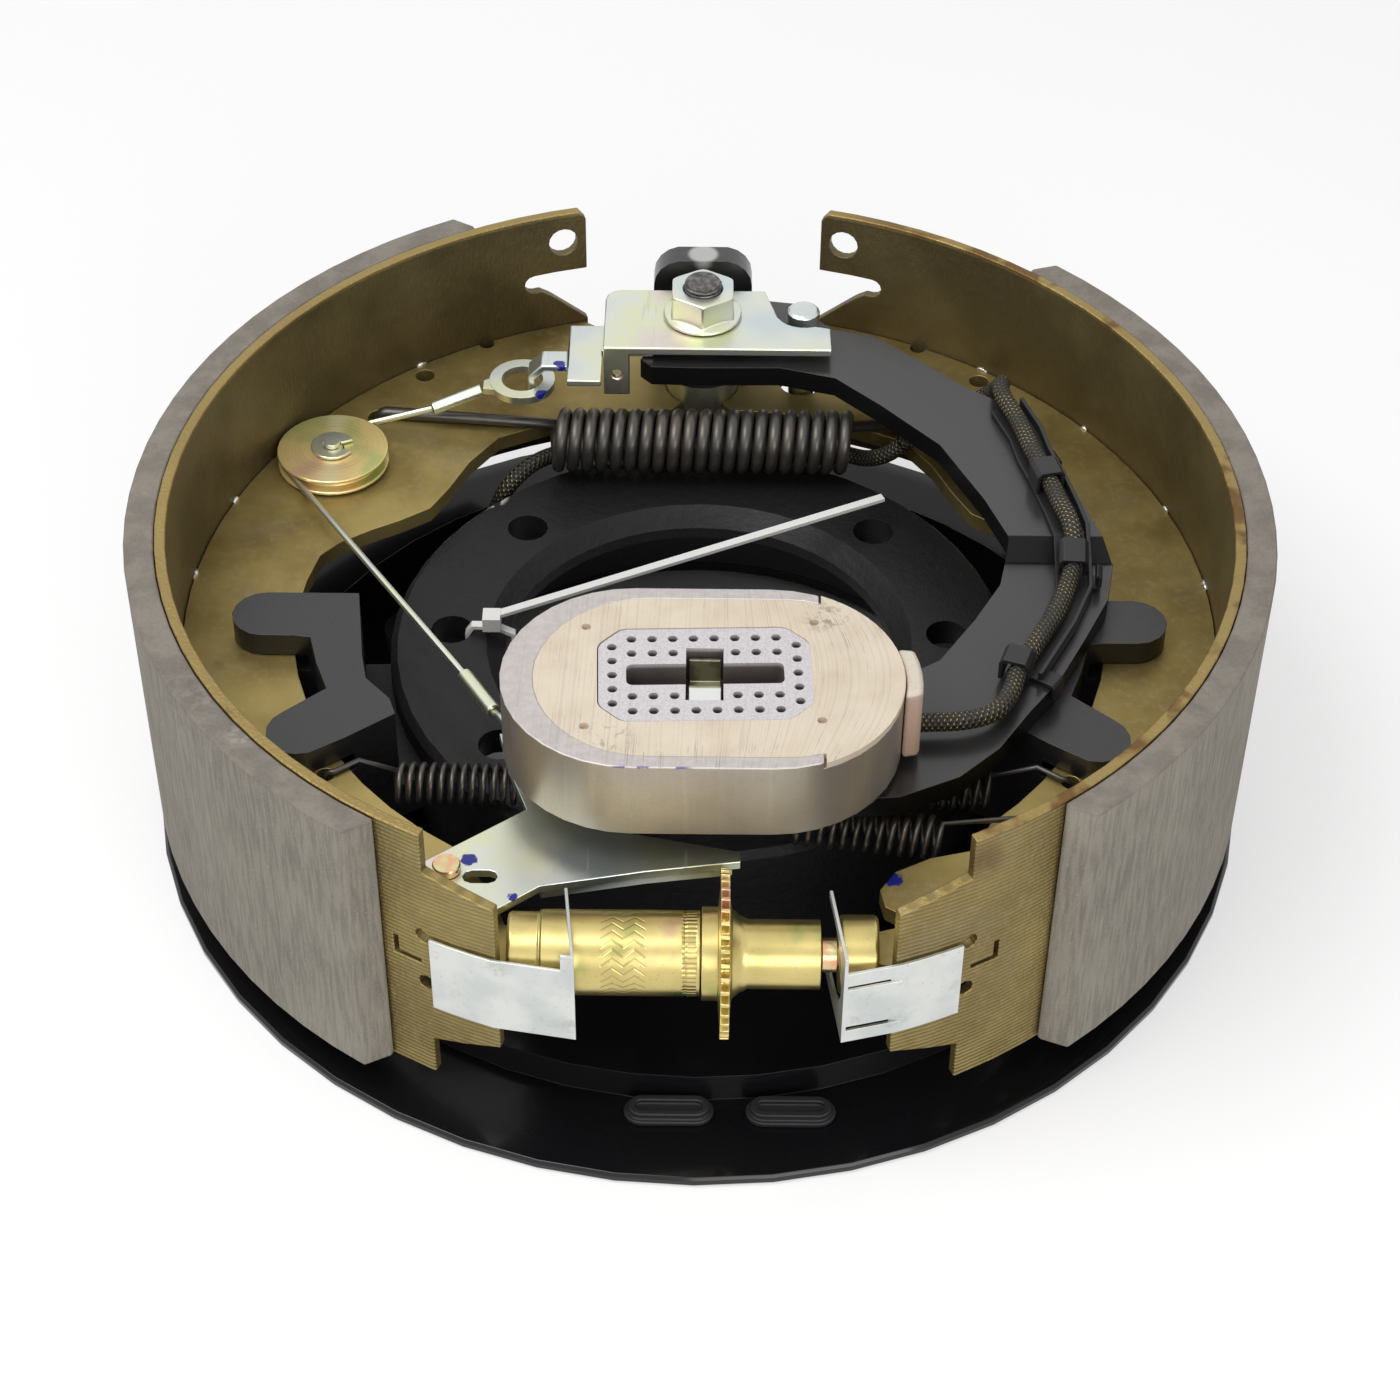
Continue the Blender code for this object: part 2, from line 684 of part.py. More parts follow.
def shoe_rim(name, side, finish, carrier):
    """Bent table of a shoe, with a drilled tab at the anchor end and a tongue at the adjuster end."""
    outline = arc(TABLE_OUT, RIM_TOP_TURN, RIM_END_TURN, step=4.0) + arc(TABLE_IN, RIM_END_TURN, RIM_TOP_TURN, step=4.0)
    rim = piece(name, prism(shoe_side(outline, side), SHOE_LOW, SHOE_HIGH), finish, carrier)
    top = RIM_TOP_TURN + 3.5
    off = across(RIM_TOP_TURN - 2.5, top)
    slot_end = across(111.2, top)
    notch = [(off, 60.0), (across(104.0, top), 60.0), (across(109.2, top), 71.9), (across(110.4, top), 74.0)]
    notch += arc(3.0, -QUARTER, QUARTER, (slot_end, 77.0), 30.0) + [(off, 80.0)]
    lower = [(x, 2 * WEB_MID - y) for x, y in reversed(notch)]
    corner = [(off, SHOE_HIGH - 3.0), (across(RIM_TOP_TURN, top), SHOE_HIGH - 3.0), (across(RIM_TOP_TURN, top) + 3.0, SHOE_HIGH + 1.0), (off, SHOE_HIGH + 1.0)]
    hole = arc(4.5, 0, FULL - 24.0, (across(107.4, top), 90.6), 24.0)
    bottom = RIM_END_TURN - 4.0
    past = across(RIM_END_TURN + 2.5, bottom)
    root = across(RIM_SHOULDER_TURN, bottom)
    shoulder = [(root, TAB_HIGH_ROOT), (past, TAB_HIGH_TIP - 0.6), (past, SHOE_HIGH + 2.0), (root, SHOE_HIGH + 2.0)]
    under = [(x, 2 * WEB_MID - y) for x, y in reversed(shoulder)]
    slit_mid = across(238.7 + 0.4, bottom)
    slit = [(slit_mid, 55.0), (slit_mid + 8.0, 55.0), (slit_mid + 8.0, 56.4), (slit_mid + 1.4, 56.4), (slit_mid + 1.4, 61.5), (slit_mid, 61.5)]
    eyes = [arc(2.4, 0, FULL - 45.0, (across(RIM_SHOULDER_TURN - 0.3, bottom), height), 45.0) for height in (65.5, 48.5)]
    for part in (notch, lower, corner, hole):
        cut(rim, placed_cutter(part, top, side))
    for part in (shoulder, under, slit, *eyes):
        cut(rim, placed_cutter(part, bottom, side))


def placed_cutter(outline, turn, side):
    """The cutter for the left rim, or its mirror image for the right one."""
    shape = rim_cutter(outline, turn)
    if side > 0:
        shape.transform(Matrix.Scale(-1, 4, (1, 0, 0)))
        shape.normal_update()
        bmesh.ops.recalc_face_normals(shape, faces=shape.faces)
    return shape


LINING_TURNS = {-1: (118.1, 238.0), 1: (131.6, 232.7)}


def lining(name, side, finish, carrier):
    """Moulded friction block with chamfered ends. The one on the left is longer."""
    start, end = LINING_TURNS[side]
    outline = arc(LINING_R, start + LINING_CHAMFER, end - LINING_CHAMFER, step=4.0)
    outline += [polar(LINING_IN + 1.5, end)] + arc(LINING_IN, end, start, step=4.0) + [polar(LINING_IN + 1.5, start)]
    piece(name, prism(shoe_side(outline, side), SHOE_LOW + GAP, SHOE_HIGH - GAP), finish, carrier)


WEB_NOTCH_R = COLLAR_R + GAP
WEB_TOP_TURN = 105.0
WEB_END_TURN = 249.4
LEFT_TONGUE_X = -42.7
RIGHT_TONGUE_X = 40.7
TONGUE_HALF = 4.3


def web_anchor_end():
    """From the inner edge beside the pulley round the stud to the table, on the left."""
    inner = [(-111.0, 11.1), (-108.4, 22.2), (-103.3, 28.1), (-95.2, 33.7), (-86.9, 38.4), (-78.7, 44.1)]
    inner += [(-73.8, 53.5), (-68.6, 66.0), (-60.8, 78.0), (-42.0, 87.6), (-22.0, 92.0), (-9.0, 93.0)]
    return inner + arc(WEB_NOTCH_R, 237.0, 123.0, ANCHOR, 19.0) + [(-12.0, 122.0)]


def web_outline(side):
    """Crescent plate from the anchor stud to the adjuster."""
    tip = LEFT_TONGUE_X if side < 0 else -RIGHT_TONGUE_X
    back = ADJUSTER_Y + TONGUE_HALF
    front = ADJUSTER_Y - TONGUE_HALF
    outer = arc(WEB_OUT, WEB_TOP_TURN, WEB_END_TURN, step=4.0)
    tongue = [(tip, front), (tip, back)]
    if side < 0:
        end = [(-48.0, -121.0), (-51.0, -112.0), (-59.8, -97.5)]
    else:
        end = [(-49.5, -121.0), (-52.5, -117.0), (-47.4, -113.8), (-46.3, -107.9), (-50.4, -101.5), (-59.6, -96.4)]
        end.append((-71.3, -93.3))
    inner = arc(WEB_INNER_R, 228.0 if side > 0 else 237.0, 183.0, step=6.0)
    points = outer + tongue + end + inner + web_anchor_end()
    return [(x, y) for x, y in shoe_side(points, side)]


def shoe_web(name, side, finish, carrier):
    """Flat web with its holes for springs and pins."""
    web = piece(name, prism(web_outline(side), WEB_LOW, WEB_HIGH), finish, carrier)
    below, above = SHOE_LOW, SHOE_HIGH
    holes = [
        disc((side * RETURN_HOOK[0], RETURN_HOOK[1]), RETURN_WIRE_R + 1.9, below, above),
        disc((side * SHOE_HOOK[0], SHOE_HOOK[1]), SHOE_WIRE_R + 1.7, below, above, 12),
        disc((side * 67.0, 126.0), 2.4, below, above, 12),
        disc((side * 85.0, 109.0), 3.0, below, above, 12),
    ]
    if side < 0:
        holes.append(disc(PULLEY, PULLEY_PIN_R + GAP, below, above))
        holes.append(disc(LEVER_PIN, LEVER_PIN_R + GAP, below, above))
    else:
        holes.append(disc(LEVER_SPRING_HOLE, SHOE_WIRE_R + 1.7, below, above, 12))
        slot = stadium((CAM_PIN[0], CAM_PIN[1] - 1.2), CAM_PIN_R + 3.0, CAM_PIN_R + 2.9, 22.5)
        holes.append(prism(slot, below, above))
    cut(web, together(*holes))


def shoe(side, finish, carrier):
    hand = "left" if side < 0 else "right"
    shoe_rim("shoe_rim_" + hand, side, finish["olive_zinc"], carrier)
    shoe_web("shoe_web_" + hand, side, finish["olive_zinc"], carrier)
    lining("lining_" + hand, side, finish["lining"], carrier)


def pulley(finish, carrier):
    """Grooved wheel that turns the cable towards the lever."""
    low = PULLEY_LOW
    high = PULLEY_LOW + PULLEY_THICK
    bore = PULLEY_PIN_R + GAP
    half_groove = CABLE_R + 0.2
    profile = [
        (bore, low),
        (PULLEY_R, low),
        (PULLEY_R, CABLE_Z - half_groove - 0.4),
        (PULLEY_GROOVE_R, CABLE_Z - half_groove),
        (PULLEY_GROOVE_R, CABLE_Z + half_groove),
        (PULLEY_R, CABLE_Z + half_groove + 0.4),
        (PULLEY_R, high),
        (bore, high),
    ]
    piece("pulley", turned(profile, at(*PULLEY), 36), finish, carrier)


def web_pin(name, place, radius, collar, head, finish, carrier):
    """Pin through the left web: a head below, a collar above when there is one, and a head on top."""
    foot = WEB_LOW - GAP
    profile = [(0, foot - 2.0), (radius + 2.0, foot - 2.0), (radius + 2.0, foot), (radius, foot)]
    if collar:
        profile += [(radius, WEB_HIGH + GAP), (collar[0], WEB_HIGH + GAP), (collar[0], collar[1]), (radius, collar[1])]
    profile += [(radius, head[1]), (head[0], head[1]), (head[0], head[2]), (0, head[2])]
    piece(name, turned(profile, at(*place), SMALL_STEPS), finish, carrier)


def pulley_clip(finish, carrier):
    """Snap ring in the pulley pin's groove, open on one side."""
    low = PULLEY_LOW + PULLEY_THICK + GAP
    ring = arc(6.4, 25.0, 335.0, PULLEY, 22.0) + arc(PULLEY_PIN_R - 0.3, 335.0, 25.0, PULLEY, 22.0)
    piece("pulley_clip", prism(ring, low, low + 0.9), finish, carrier)


def pulley_tangents():
    """Where the cable meets the pulley: from the ferrule, and towards the lever."""
    centre = Vector(PULLEY)
    end = Vector(FERRULE_FAR[:2])
    away = end - centre
    reach = math.degrees(math.acos(CABLE_WRAP_R / away.length))
    first = math.degrees(math.atan2(away.y, away.x)) + reach
    low_end = Vector(LOWER_FERRULE[:2]) - centre
    reach = math.degrees(math.acos(CABLE_WRAP_R / low_end.length))
    last = math.degrees(math.atan2(low_end.y, low_end.x)) + FULL - reach
    return first, last


FERRULE_NEAR = (-65.6, 84.6, 73.0)
FERRULE_FAR = (-80.0, 81.2, 68.6)
FERRULE_R = 2.1
LOWER_FERRULE = (-63.5, -33.0, 64.6)
LOWER_FERRULE_END = (-54.6, -48.6, 65.6)


def cable(finish, carrier):
    """Steel cable from the upper ferrule round the pulley to the lower ferrule, with both ferrules."""
    first, last = pulley_tangents()
    wrap = [(*polar(CABLE_WRAP_R, turn, PULLEY), CABLE_Z) for turn in steps(first, last, 13)]
    start = Vector(FERRULE_FAR)
    entry = Vector(wrap[0])
    level = (Vector((start.x, start.y, entry.z)) - entry).normalized()
    near = entry + level * PULLEY_R * 0.62
    down = [start, start.lerp(near, 0.5), near]
    tail = [Vector(wrap[-1]).lerp(Vector(LOWER_FERRULE), i / 12) for i in range(1, 13)]
    points = [*down, *wrap, *tail]
    points[0] = points[0] + (points[1] - points[0]).normalized() * GAP
    points[-1] = points[-1] + (points[-2] - points[-1]).normalized() * GAP
    wire("adjuster_cable", points, CABLE_R, finish["bright_zinc"], 2, carrier)
    wire("cable_ferrule_top", [FERRULE_NEAR, FERRULE_FAR], FERRULE_R, finish["bright_zinc"], 4, carrier)
    wire("cable_ferrule_end", [LOWER_FERRULE, LOWER_FERRULE_END], FERRULE_R, finish["bright_zinc"], 4, carrier)


def steps(start, end, count):
    return [start + (end - start) * i / (count - 1) for i in range(count)]


def cable_ends(finish, carrier):
    """Eyelet at the anchor and the hook that pulls the lever."""
    low = EYELET_Z - EYELET_THICK / 2
    ring = [
        (EYELET_IN_R, low),
        (EYELET_OUT_R, low),
        (EYELET_OUT_R, low + EYELET_THICK),
        (EYELET_IN_R, low + EYELET_THICK),
    ]
    eyelet = piece("cable_eyelet", turned(ring, at(*EYELET), 24), finish, carrier)
    neck = [(-62.4, 88.2), (-65.0, 86.8), (-65.0, 82.6), (-60.6, 82.0)]
    join(eyelet, prism(neck, low + 0.2, low + EYELET_THICK - 0.2))
    end = Vector(LOWER_FERRULE_END)
    reach = (end - Vector(LOWER_FERRULE)).normalized() * GAP
    route = [end + reach, (-53.0, -52.0, 67.0), (-51.4, -55.4, 68.1), (-49.6, -60.0, 68.3), (-48.8, -62.4, 68.1)]
    wire("cable_hook", route, CABLE_R, finish, 2, carrier)


def adjuster_lever(finish, carrier):
    """Bell crank stamped from sheet: cable end, pivot, and a pawl over the star wheel."""
    outline = arc(6.5, 150.0, 262.0, LEVER_PIN, 28.0)
    outline += [(-50.5, -122.4), (-39.3, -113.7), (-13.1, -108.3), (11.0, -104.6), (11.0, -101.0)]
    outline += [(-17.2, -94.7), (-30.0, -86.0), (-41.0, -66.0), (-43.5, -58.5), (-52.5, -58.0), (-49.5, -71.0)]
    outline += [(-44.0, -86.5)]
    lever = piece("adjuster_lever", prism(outline, LEVER_LOW, LEVER_HIGH), finish, carrier)
    lip = strip([(-39.3, -113.2), (-13.1, -107.8), (9.0, -104.4)], 1.8)
    join(lever, prism(lip, LEVER_LOW - 2.6, LEVER_LOW + 1.0))
    keyhole = stadium((-54.4, -110.6), 4.4, 2.2, 45.0)
    holes = [
        disc(LEVER_PIN, LEVER_PIN_R + RUN, SHOE_LOW, SHOE_HIGH),
        prism(keyhole, SHOE_LOW, SHOE_HIGH),
        disc((-48.0, -64.0), 1.8, SHOE_LOW, SHOE_HIGH, 12),
    ]
    cut(lever, together(*holes))


def adjuster_barrel(finish, carrier):
    """Internally threaded barrel with a knurled end and a slot for the web's tongue."""
    bore = SHANK_R + GAP
    slot_end = LEFT_TONGUE_X + 0.5
    profile = [
        (0, BARREL_LEFT),
        (BARREL_R - 1.2, BARREL_LEFT),
        (BARREL_R - 0.6, BARREL_LEFT + 0.8),
        (BARREL_R - 0.6, BARREL_LEFT + 7.6),
        (BARREL_R, BARREL_LEFT + 8.2),
        (BARREL_R, BARREL_RIGHT - 4.0),
        (BARREL_R - 0.3, BARREL_RIGHT - 3.7),
        (BARREL_R, BARREL_RIGHT - 3.4),
        (BARREL_R, BARREL_RIGHT),
        (bore, BARREL_RIGHT),
        (bore, slot_end + 4.2),
        (0, slot_end + 4.2),
    ]
    barrel = piece("adjuster_barrel", turned(profile, along_x(ADJUSTER_Y, ADJUSTER_Z), 28), finish, carrier)
    slot = box_outline(BARREL_LEFT - 2.0, slot_end, ADJUSTER_Y - BARREL_R * 2, ADJUSTER_Y + BARREL_R * 2)
    cut(barrel, prism(slot, ADJUSTER_Z - TONGUE_SLOT / 2, ADJUSTER_Z + TONGUE_SLOT / 2))


PIVOT_R = 3.0
THRUST_WASHER_R = 4.35


def star_wheel(finish, carrier):
    """Adjusting screw with its toothed wheel."""
    right = STAR_LEFT + STAR_THICK
    profile = [
        (0, LEFT_TONGUE_X + 8.0),
        (SHANK_R, LEFT_TONGUE_X + 8.0),
        (SHANK_R, BARREL_RIGHT + GAP),
        (SCREW_BODY_R + 3.0, BARREL_RIGHT + GAP),
        (SCREW_BODY_R + 3.0, right - 0.5),
        (SCREW_BODY_R + 1.0, right + 1.9),
        (SCREW_BODY_R, right + 4.0),
        (SCREW_BODY_R, SCREW_BODY_RIGHT),
        (PIVOT_R, SCREW_BODY_RIGHT),
        (PIVOT_R, CAP_LEFT + 3.9),
        (0, CAP_LEFT + 3.9),
    ]
    screw = piece("star_wheel", turned(profile, along_x(ADJUSTER_Y, ADJUSTER_Z), 28), finish, carrier)
    pitch = FULL / STAR_TEETH
    teeth = []
    for i in range(STAR_TEETH):
        start = pitch * i
        teeth.append(polar(STAR_R - STAR_TOOTH, start, (0, 0)))
        teeth.append(polar(STAR_R, start + pitch * 0.25))
        teeth.append(polar(STAR_R, start + pitch * 0.55))
        teeth.append(polar(STAR_R - STAR_TOOTH, start + pitch * 0.8))
    join(screw, prism(teeth, STAR_LEFT, right, along_x(ADJUSTER_Y, ADJUSTER_Z)))


def thrust_washer(finish, carrier):
    """Sleeve on the screw's pivot, against the cap."""
    left = SCREW_BODY_RIGHT + GAP
    right = CAP_LEFT - GAP
    bore = PIVOT_R + GAP
    profile = [(bore, left), (THRUST_WASHER_R, left), (THRUST_WASHER_R, right), (bore, right)]
    piece("thrust_washer", turned(profile, along_x(ADJUSTER_Y, ADJUSTER_Z), SMALL_STEPS), finish, carrier)


def adjuster_cap(finish, carrier):
    """Socket that carries the screw's pivot and takes the right web's tongue."""
    bore = PIVOT_R + RUN
    slot_start = RIGHT_TONGUE_X - 0.5
    profile = [
        (0, slot_start - 0.8),
        (bore, slot_start - 0.8),
        (bore, CAP_LEFT),
        (CAP_R - 0.8, CAP_LEFT),
        (CAP_R, CAP_LEFT + 0.8),
        (CAP_R, CAP_RIGHT - 0.8),
        (CAP_R - 0.8, CAP_RIGHT),
        (0, CAP_RIGHT),
    ]
    cap = piece("adjuster_cap", turned(profile, along_x(ADJUSTER_Y, ADJUSTER_Z), 28), finish, carrier)
    slot = box_outline(slot_start, CAP_RIGHT + 2.0, ADJUSTER_Y - CAP_R * 2, ADJUSTER_Y + CAP_R * 2)
    cut(cap, prism(slot, ADJUSTER_Z - TONGUE_SLOT / 2, ADJUSTER_Z + TONGUE_SLOT / 2))


CLIP_THICK = 0.8
CLIP_FORK_LEFT = (30.5, 32.8)
CLIP_FORK_RIGHT = (36.8, 33.7)
CLIP_FRONT_Y = -141.6
CLIP_BACK_Y = -119.0
CLIP_LOW = 41.5
CLIP_FACE_HIGH = 66.0
CLIP_FORK_HIGH = 71.5
CLIP_SLOTS = (45.6, 60.3)
CLIP_SLOT_WIDE = 1.4


def adjuster_clip(name, side, finish, carrier):
    """Sheet clip that hooks over the table's tongue and forks round the adjuster."""
    wing = arc(TABLE_OUT + GAP, RIM_END_TURN - 7.0, RIM_END_TURN - 0.4, step=2.2)
    front, back = CLIP_FORK_RIGHT if side > 0 else CLIP_FORK_LEFT
    path = wing + [(-front, CLIP_FRONT_Y), (-back, CLIP_BACK_Y)]
    outline = shoe_side(strip(path, -CLIP_THICK), side)
    clip = piece(name, prism(outline, CLIP_LOW, CLIP_FORK_HIGH), finish, carrier)
    outer = max(front, back) + 0.2
    faces = shoe_side(box_outline(-outer - 60.0, -outer, CLIP_FRONT_Y - 5.0, CLIP_BACK_Y), side)
    cut(clip, prism(faces, CLIP_FACE_HIGH, CLIP_FORK_HIGH + 5.0))
    reach = BARREL_R + RUN + 0.2
    mouth = arc(reach, HALF - QUARTER, QUARTER + HALF, (ADJUSTER_Y, ADJUSTER_Z), 15.0)
    mouth = [(y, z) for y, z in mouth] + [(CLIP_BACK_Y + 5.0, ADJUSTER_Z - reach), (CLIP_BACK_Y + 5.0, ADJUSTER_Z + reach)]
    cut(clip, prism(mouth, 0, 12.0, facing_side(side * front - 6.0)))
    if side > 0:
        slot = box_outline(front + 0.4, front + 16.7, CLIP_FRONT_Y * 1.1, ADJUSTER_Y - BARREL_R)
        cut(clip, together(*[prism(slot, low, low + CLIP_SLOT_WIDE) for low in CLIP_SLOTS]))


def arm_outline():
    """Hooked arm from the stud round to the magnet, seen from above."""
    back = [(28.0, 120.5), (39.1, 107.0), (50.5, 104.5), (59.2, 97.0), (70.6, 85.6), (77.6, 78.7), (87.4, 71.5)]
    back += [(95.2, 58.1), (103.4, 34.9), (107.9, 22.3), (111.5, 10.4), (114.7, 4.4), (111.8, -10.6)]
    back += [(104.0, -27.3), (95.9, -43.6), (87.0, -56.3), (78.2, -70.2), (67.2, -81.1), (51.5, -88.7), (22.0, -91.0)]
    end = arc(18.5, 285.0, 75.0, MAGNET, 21.0)
    front = [(32.0, -50.0), (50.0, -46.0), (64.5, -36.1), (74.8, -19.6), (82.7, -4.7), (85.6, 9.1), (80.0, 25.4)]
    front += [(68.7, 50.6), (52.2, 69.5), (39.4, 82.5), (23.2, 87.3), (-0.6, 86.9), (-15.0, 87.2), (-18.4, 91.0)]
    boss = arc(18.7, 215.0, 70.0, ANCHOR, 18.0)
    return back + end + front + boss


def bent_sheet(low_front, low_back, thick, slack=0.0):
    """A sheet that steps up between the front and back parts of the arm, across its whole width."""
    front = ARM_BEND_FRONT - slack
    back = ARM_BEND_BACK - slack
    path = [(-120.0, low_front), (front, low_front), (back, low_back), (150.0, low_back)]
    outline = path + [(y, z + thick) for y, z in reversed(path)]
    return prism(outline, 0, 280.0, facing_side(-140.0))


BUSHING_R = 12.5
GUIDE_PATH = ((88.0, 66.5), (92.5, 53.0), (94.2, 43.0), (97.4, 31.0), (100.2, 18.5), (102.6, 3.1))
GUIDE_PATH_FRONT = ((101.6, -8.0), (96.2, -22.0), (89.6, -35.0), (85.0, -44.0))


def actuating_arm(finish, carrier):
    """Thick bent plate, carried by the stud, which the magnet pulls round."""
    arm = piece("actuating_arm", prism(arm_outline(), ARM_LOW - 5.0, ARM_TOP_BACK + 5.0), finish, carrier)
    step = arm.modifiers.new("bend", "BOOLEAN")
    step.operation = "INTERSECT"
    step.object = hidden("arm_bend", bent_sheet(ARM_LOW, ARM_UP, ARM_THICK), finish)
    holes = [
        disc(ANCHOR, BUSHING_R + GAP, ARM_LOW, SHOE_HIGH, 24),
        disc(CAM_PIN, CAM_PIN_R + GAP, ARM_LOW, SHOE_HIGH),
        disc(MAGNET, POST_R + GAP, ARM_LOW - 5.0, SHOE_HIGH),
    ]
    cut(arm, together(*holes))


def hidden(name, shape, finish):
    """A helper solid that isn't part of the brake."""
    helper = piece(name, shape, finish)
    helper.hide_render = True
    helper.display_type = "WIRE"
    return helper


def arm_bushing(finish, carrier):
    """Pressed bushing that lets the arm turn on the stud."""
    bore = STUD_R + RUN
    low = ARM_LOW - 0.6
    high = ANCHOR_PLATE_LOW - RUN
    profile = [(bore, low), (BUSHING_R, low), (BUSHING_R, high), (bore, high)]
    piece("arm_bushing", turned(profile, at(*ANCHOR), 24), finish, carrier)


def cam_pin(finish, carrier):
    """Pin on the arm that pushes the right shoe's web."""
    top = ANCHOR_PLATE_HIGH + 0.6
    head = ARM_TOP_BACK + GAP
    profile = [
        (0, WEB_LOW + 0.4),
        (CAM_PIN_R, WEB_LOW + 0.4),
        (CAM_PIN_R, head),
        (CAM_PIN_R + 0.9, head),
        (CAM_PIN_R + 0.9, top - 0.8),
        (CAM_PIN_R, top),
        (0, top),
    ]
    piece("cam_pin", turned(profile, at(*CAM_PIN), SMALL_STEPS), finish, carrier)


GUIDE_HALF = 7.0
GUIDE_THICK = 1.5
STRAP_SPOTS = ((0, 0.62, 3.6), (2, 0.75, 3.6))


def ribbon(path, half):
    """Outline of a band of constant width round a path."""
    left = strip(path, half)[len(path) :]
    right = strip(path, -half)[len(path) :]
    return [*reversed(left), *right]


def strap(middle, direction, low, lead_z, half_long):
    """Arch over the lead, square to its run, and the cylinder that the lead passes through."""
    turn = math.atan2(direction[1], direction[0])
    place = at(middle[0], middle[1], 0) @ Matrix.Rotation(turn, 4, "Z")
    arch = prism(box_outline(-half_long, half_long, -GUIDE_HALF, GUIDE_HALF), low, lead_z + LEAD_R + 1.6, place)
    tunnel_place = at(middle[0], middle[1], lead_z) @ Matrix.Rotation(turn, 4, "Z") @ along_x(0, 0)
    wide = LEAD_R + 0.6
    reach = half_long + 4.0
    tunnel = turned([(0, -reach), (wide, -reach), (wide, reach), (0, reach)], tunnel_place, 12)
    return arch, tunnel


LEAD_Z_BACK = ARM_TOP_BACK + GAP + GUIDE_THICK + LEAD_R + 0.5
LEAD_Z_FRONT = ARM_TOP_FRONT + GAP + GUIDE_THICK + LEAD_R + 0.5
STRAPS = (
    ((91.0, 57.0), (4.5, -13.0), True),
    ((98.9, 24.5), (3.0, -12.6), True),
    ((93.2, -28.0), (-6.5, -13.0), False),
)


def wire_guide(finish, carrier):
    """Moulded guide along the arm with three straps over the lead and hooks round the arm's edge."""
    whole = GUIDE_PATH + GUIDE_PATH_FRONT
    outline = ribbon(whole, GUIDE_HALF)
    guide = piece("wire_guide", prism(outline, ARM_LOW, SHOE_HIGH), finish, carrier)
    step = guide.modifiers.new("bend", "BOOLEAN")
    step.operation = "INTERSECT"
    low_front = ARM_TOP_FRONT + GAP
    low_back = ARM_TOP_BACK + GAP
    step.object = hidden("guide_bend", bent_sheet(low_front, low_back, GUIDE_THICK, 0.4), finish)
    for middle, direction, behind in STRAPS:
        low = low_back if behind else low_front
        lead_z = LEAD_Z_BACK if behind else LEAD_Z_FRONT
        arch, tunnel = strap(middle, direction, low + 0.4, lead_z, 4.2)
        join(guide, arch)
        cut(guide, tunnel)


def lead_routes():
    """The lead's route on the frame, from the grommet to below the arm, and its route on the arm."""
    start = polar(GROMMET_R, GROMMET_TURN)
    rest = FLANGE_HIGH + LEAD_R + 0.3
    fixed = [
        (*start, PLATE_RISE - 4.0),
        (*start, PLATE_TOP + 6.0),
        (start[0] + 1.6, start[1] - 2.0, PLATE_TOP + 15.0),
        (-61.6, 73.0, 38.0),
        (-58.0, 72.6, 46.0),
        (-51.5, 77.0, 50.6),
        (-43.5, 82.6, 51.0),
        (-30.0, 84.2, rest),
        (0.0, 84.4, rest),
        (30.0, 84.2, rest),
        (42.0, 83.2, 51.8),
        (49.6, 79.0, 53.2),
        (55.4, 74.8, 58.0),
        (60.0, 73.4, 63.2),
    ]
    on_arm = [
        (60.4, 73.28, 63.65),
        (61.7, 72.88, 65.1),
        (66.4, 73.8, 67.6),
        (73.6, 79.6, 69.0),
        (80.6, 84.6, 69.9),
        (86.6, 86.0, 73.4),
        (88.6, 81.6, 79.4),
        (87.6, 75.0, 83.8),
        (87.6, 68.5, LEAD_Z_BACK),
        (91.0, 57.0, LEAD_Z_BACK),
        (94.2, 43.0, LEAD_Z_BACK),
        (97.4, 31.0, LEAD_Z_BACK),
        (100.2, 18.5, LEAD_Z_BACK),
        (102.4, 9.0, LEAD_Z_BACK),
        (102.6, -1.0, LEAD_Z_FRONT + 2.6),
        (100.6, -9.5, LEAD_Z_FRONT + 0.2),
        (96.2, -22.0, LEAD_Z_FRONT),
        (89.6, -35.0, LEAD_Z_FRONT),
        (84.6, -45.0, LEAD_Z_FRONT),
        (81.8, -54.0, LEAD_Z_FRONT),
        (77.2, -61.4, LEAD_Z_FRONT),
        (69.0, -65.0, LEAD_Z_FRONT),
        (57.4, -66.0, LEAD_Z_FRONT),
    ]
    return fixed, on_arm


def lead(finish, carrier):
    fixed, on_arm = lead_routes()
    wire("lead_fixed", smooth_route(fixed, LEAD_R * 4), LEAD_R, finish, 2)
    wire("lead_arm", smooth_route(on_arm, LEAD_R * 3.4), LEAD_R, finish, 2, carrier)


def lead_grommet(finish):
    """Rubber grommet that takes the lead through the backing plate."""
    bore = LEAD_R + GAP
    neck = LEAD_R * 2
    lip = neck + 2.5
    profile = [
        (bore, PLATE_RISE - 2.5),
        (lip, PLATE_RISE - 2.5),
        (lip, PLATE_RISE - GAP),
        (neck, PLATE_RISE - GAP),
        (neck, PLATE_TOP + GAP),
        (lip, PLATE_TOP + GAP),
        (neck, PLATE_TOP + 3.5),
        (bore, PLATE_TOP + 3.5),
    ]
    piece("lead_grommet", turned(profile, at(*polar(GROMMET_R, GROMMET_TURN)), SMALL_STEPS), finish)


POST_R = 3.5
CORE = (1.6, -70.1)
CORE_TURN = 2.0
CORE_LONG = 26.9
CORE_WIDE = 17.2
CORE_CORNER = 6.0
CORE_HOLE_R = 1.4
CORE_PITCH = 5.26
CORE_SLOT_LONG = 19.9
CORE_SLOT_WIDE = 3.85
CORE_WELL_R = 11.0
CORE_WELL_HIGH = 84.6
POST_HIGH = CORE_WELL_HIGH + 3.5
SHELL_FLOOR = 3.0


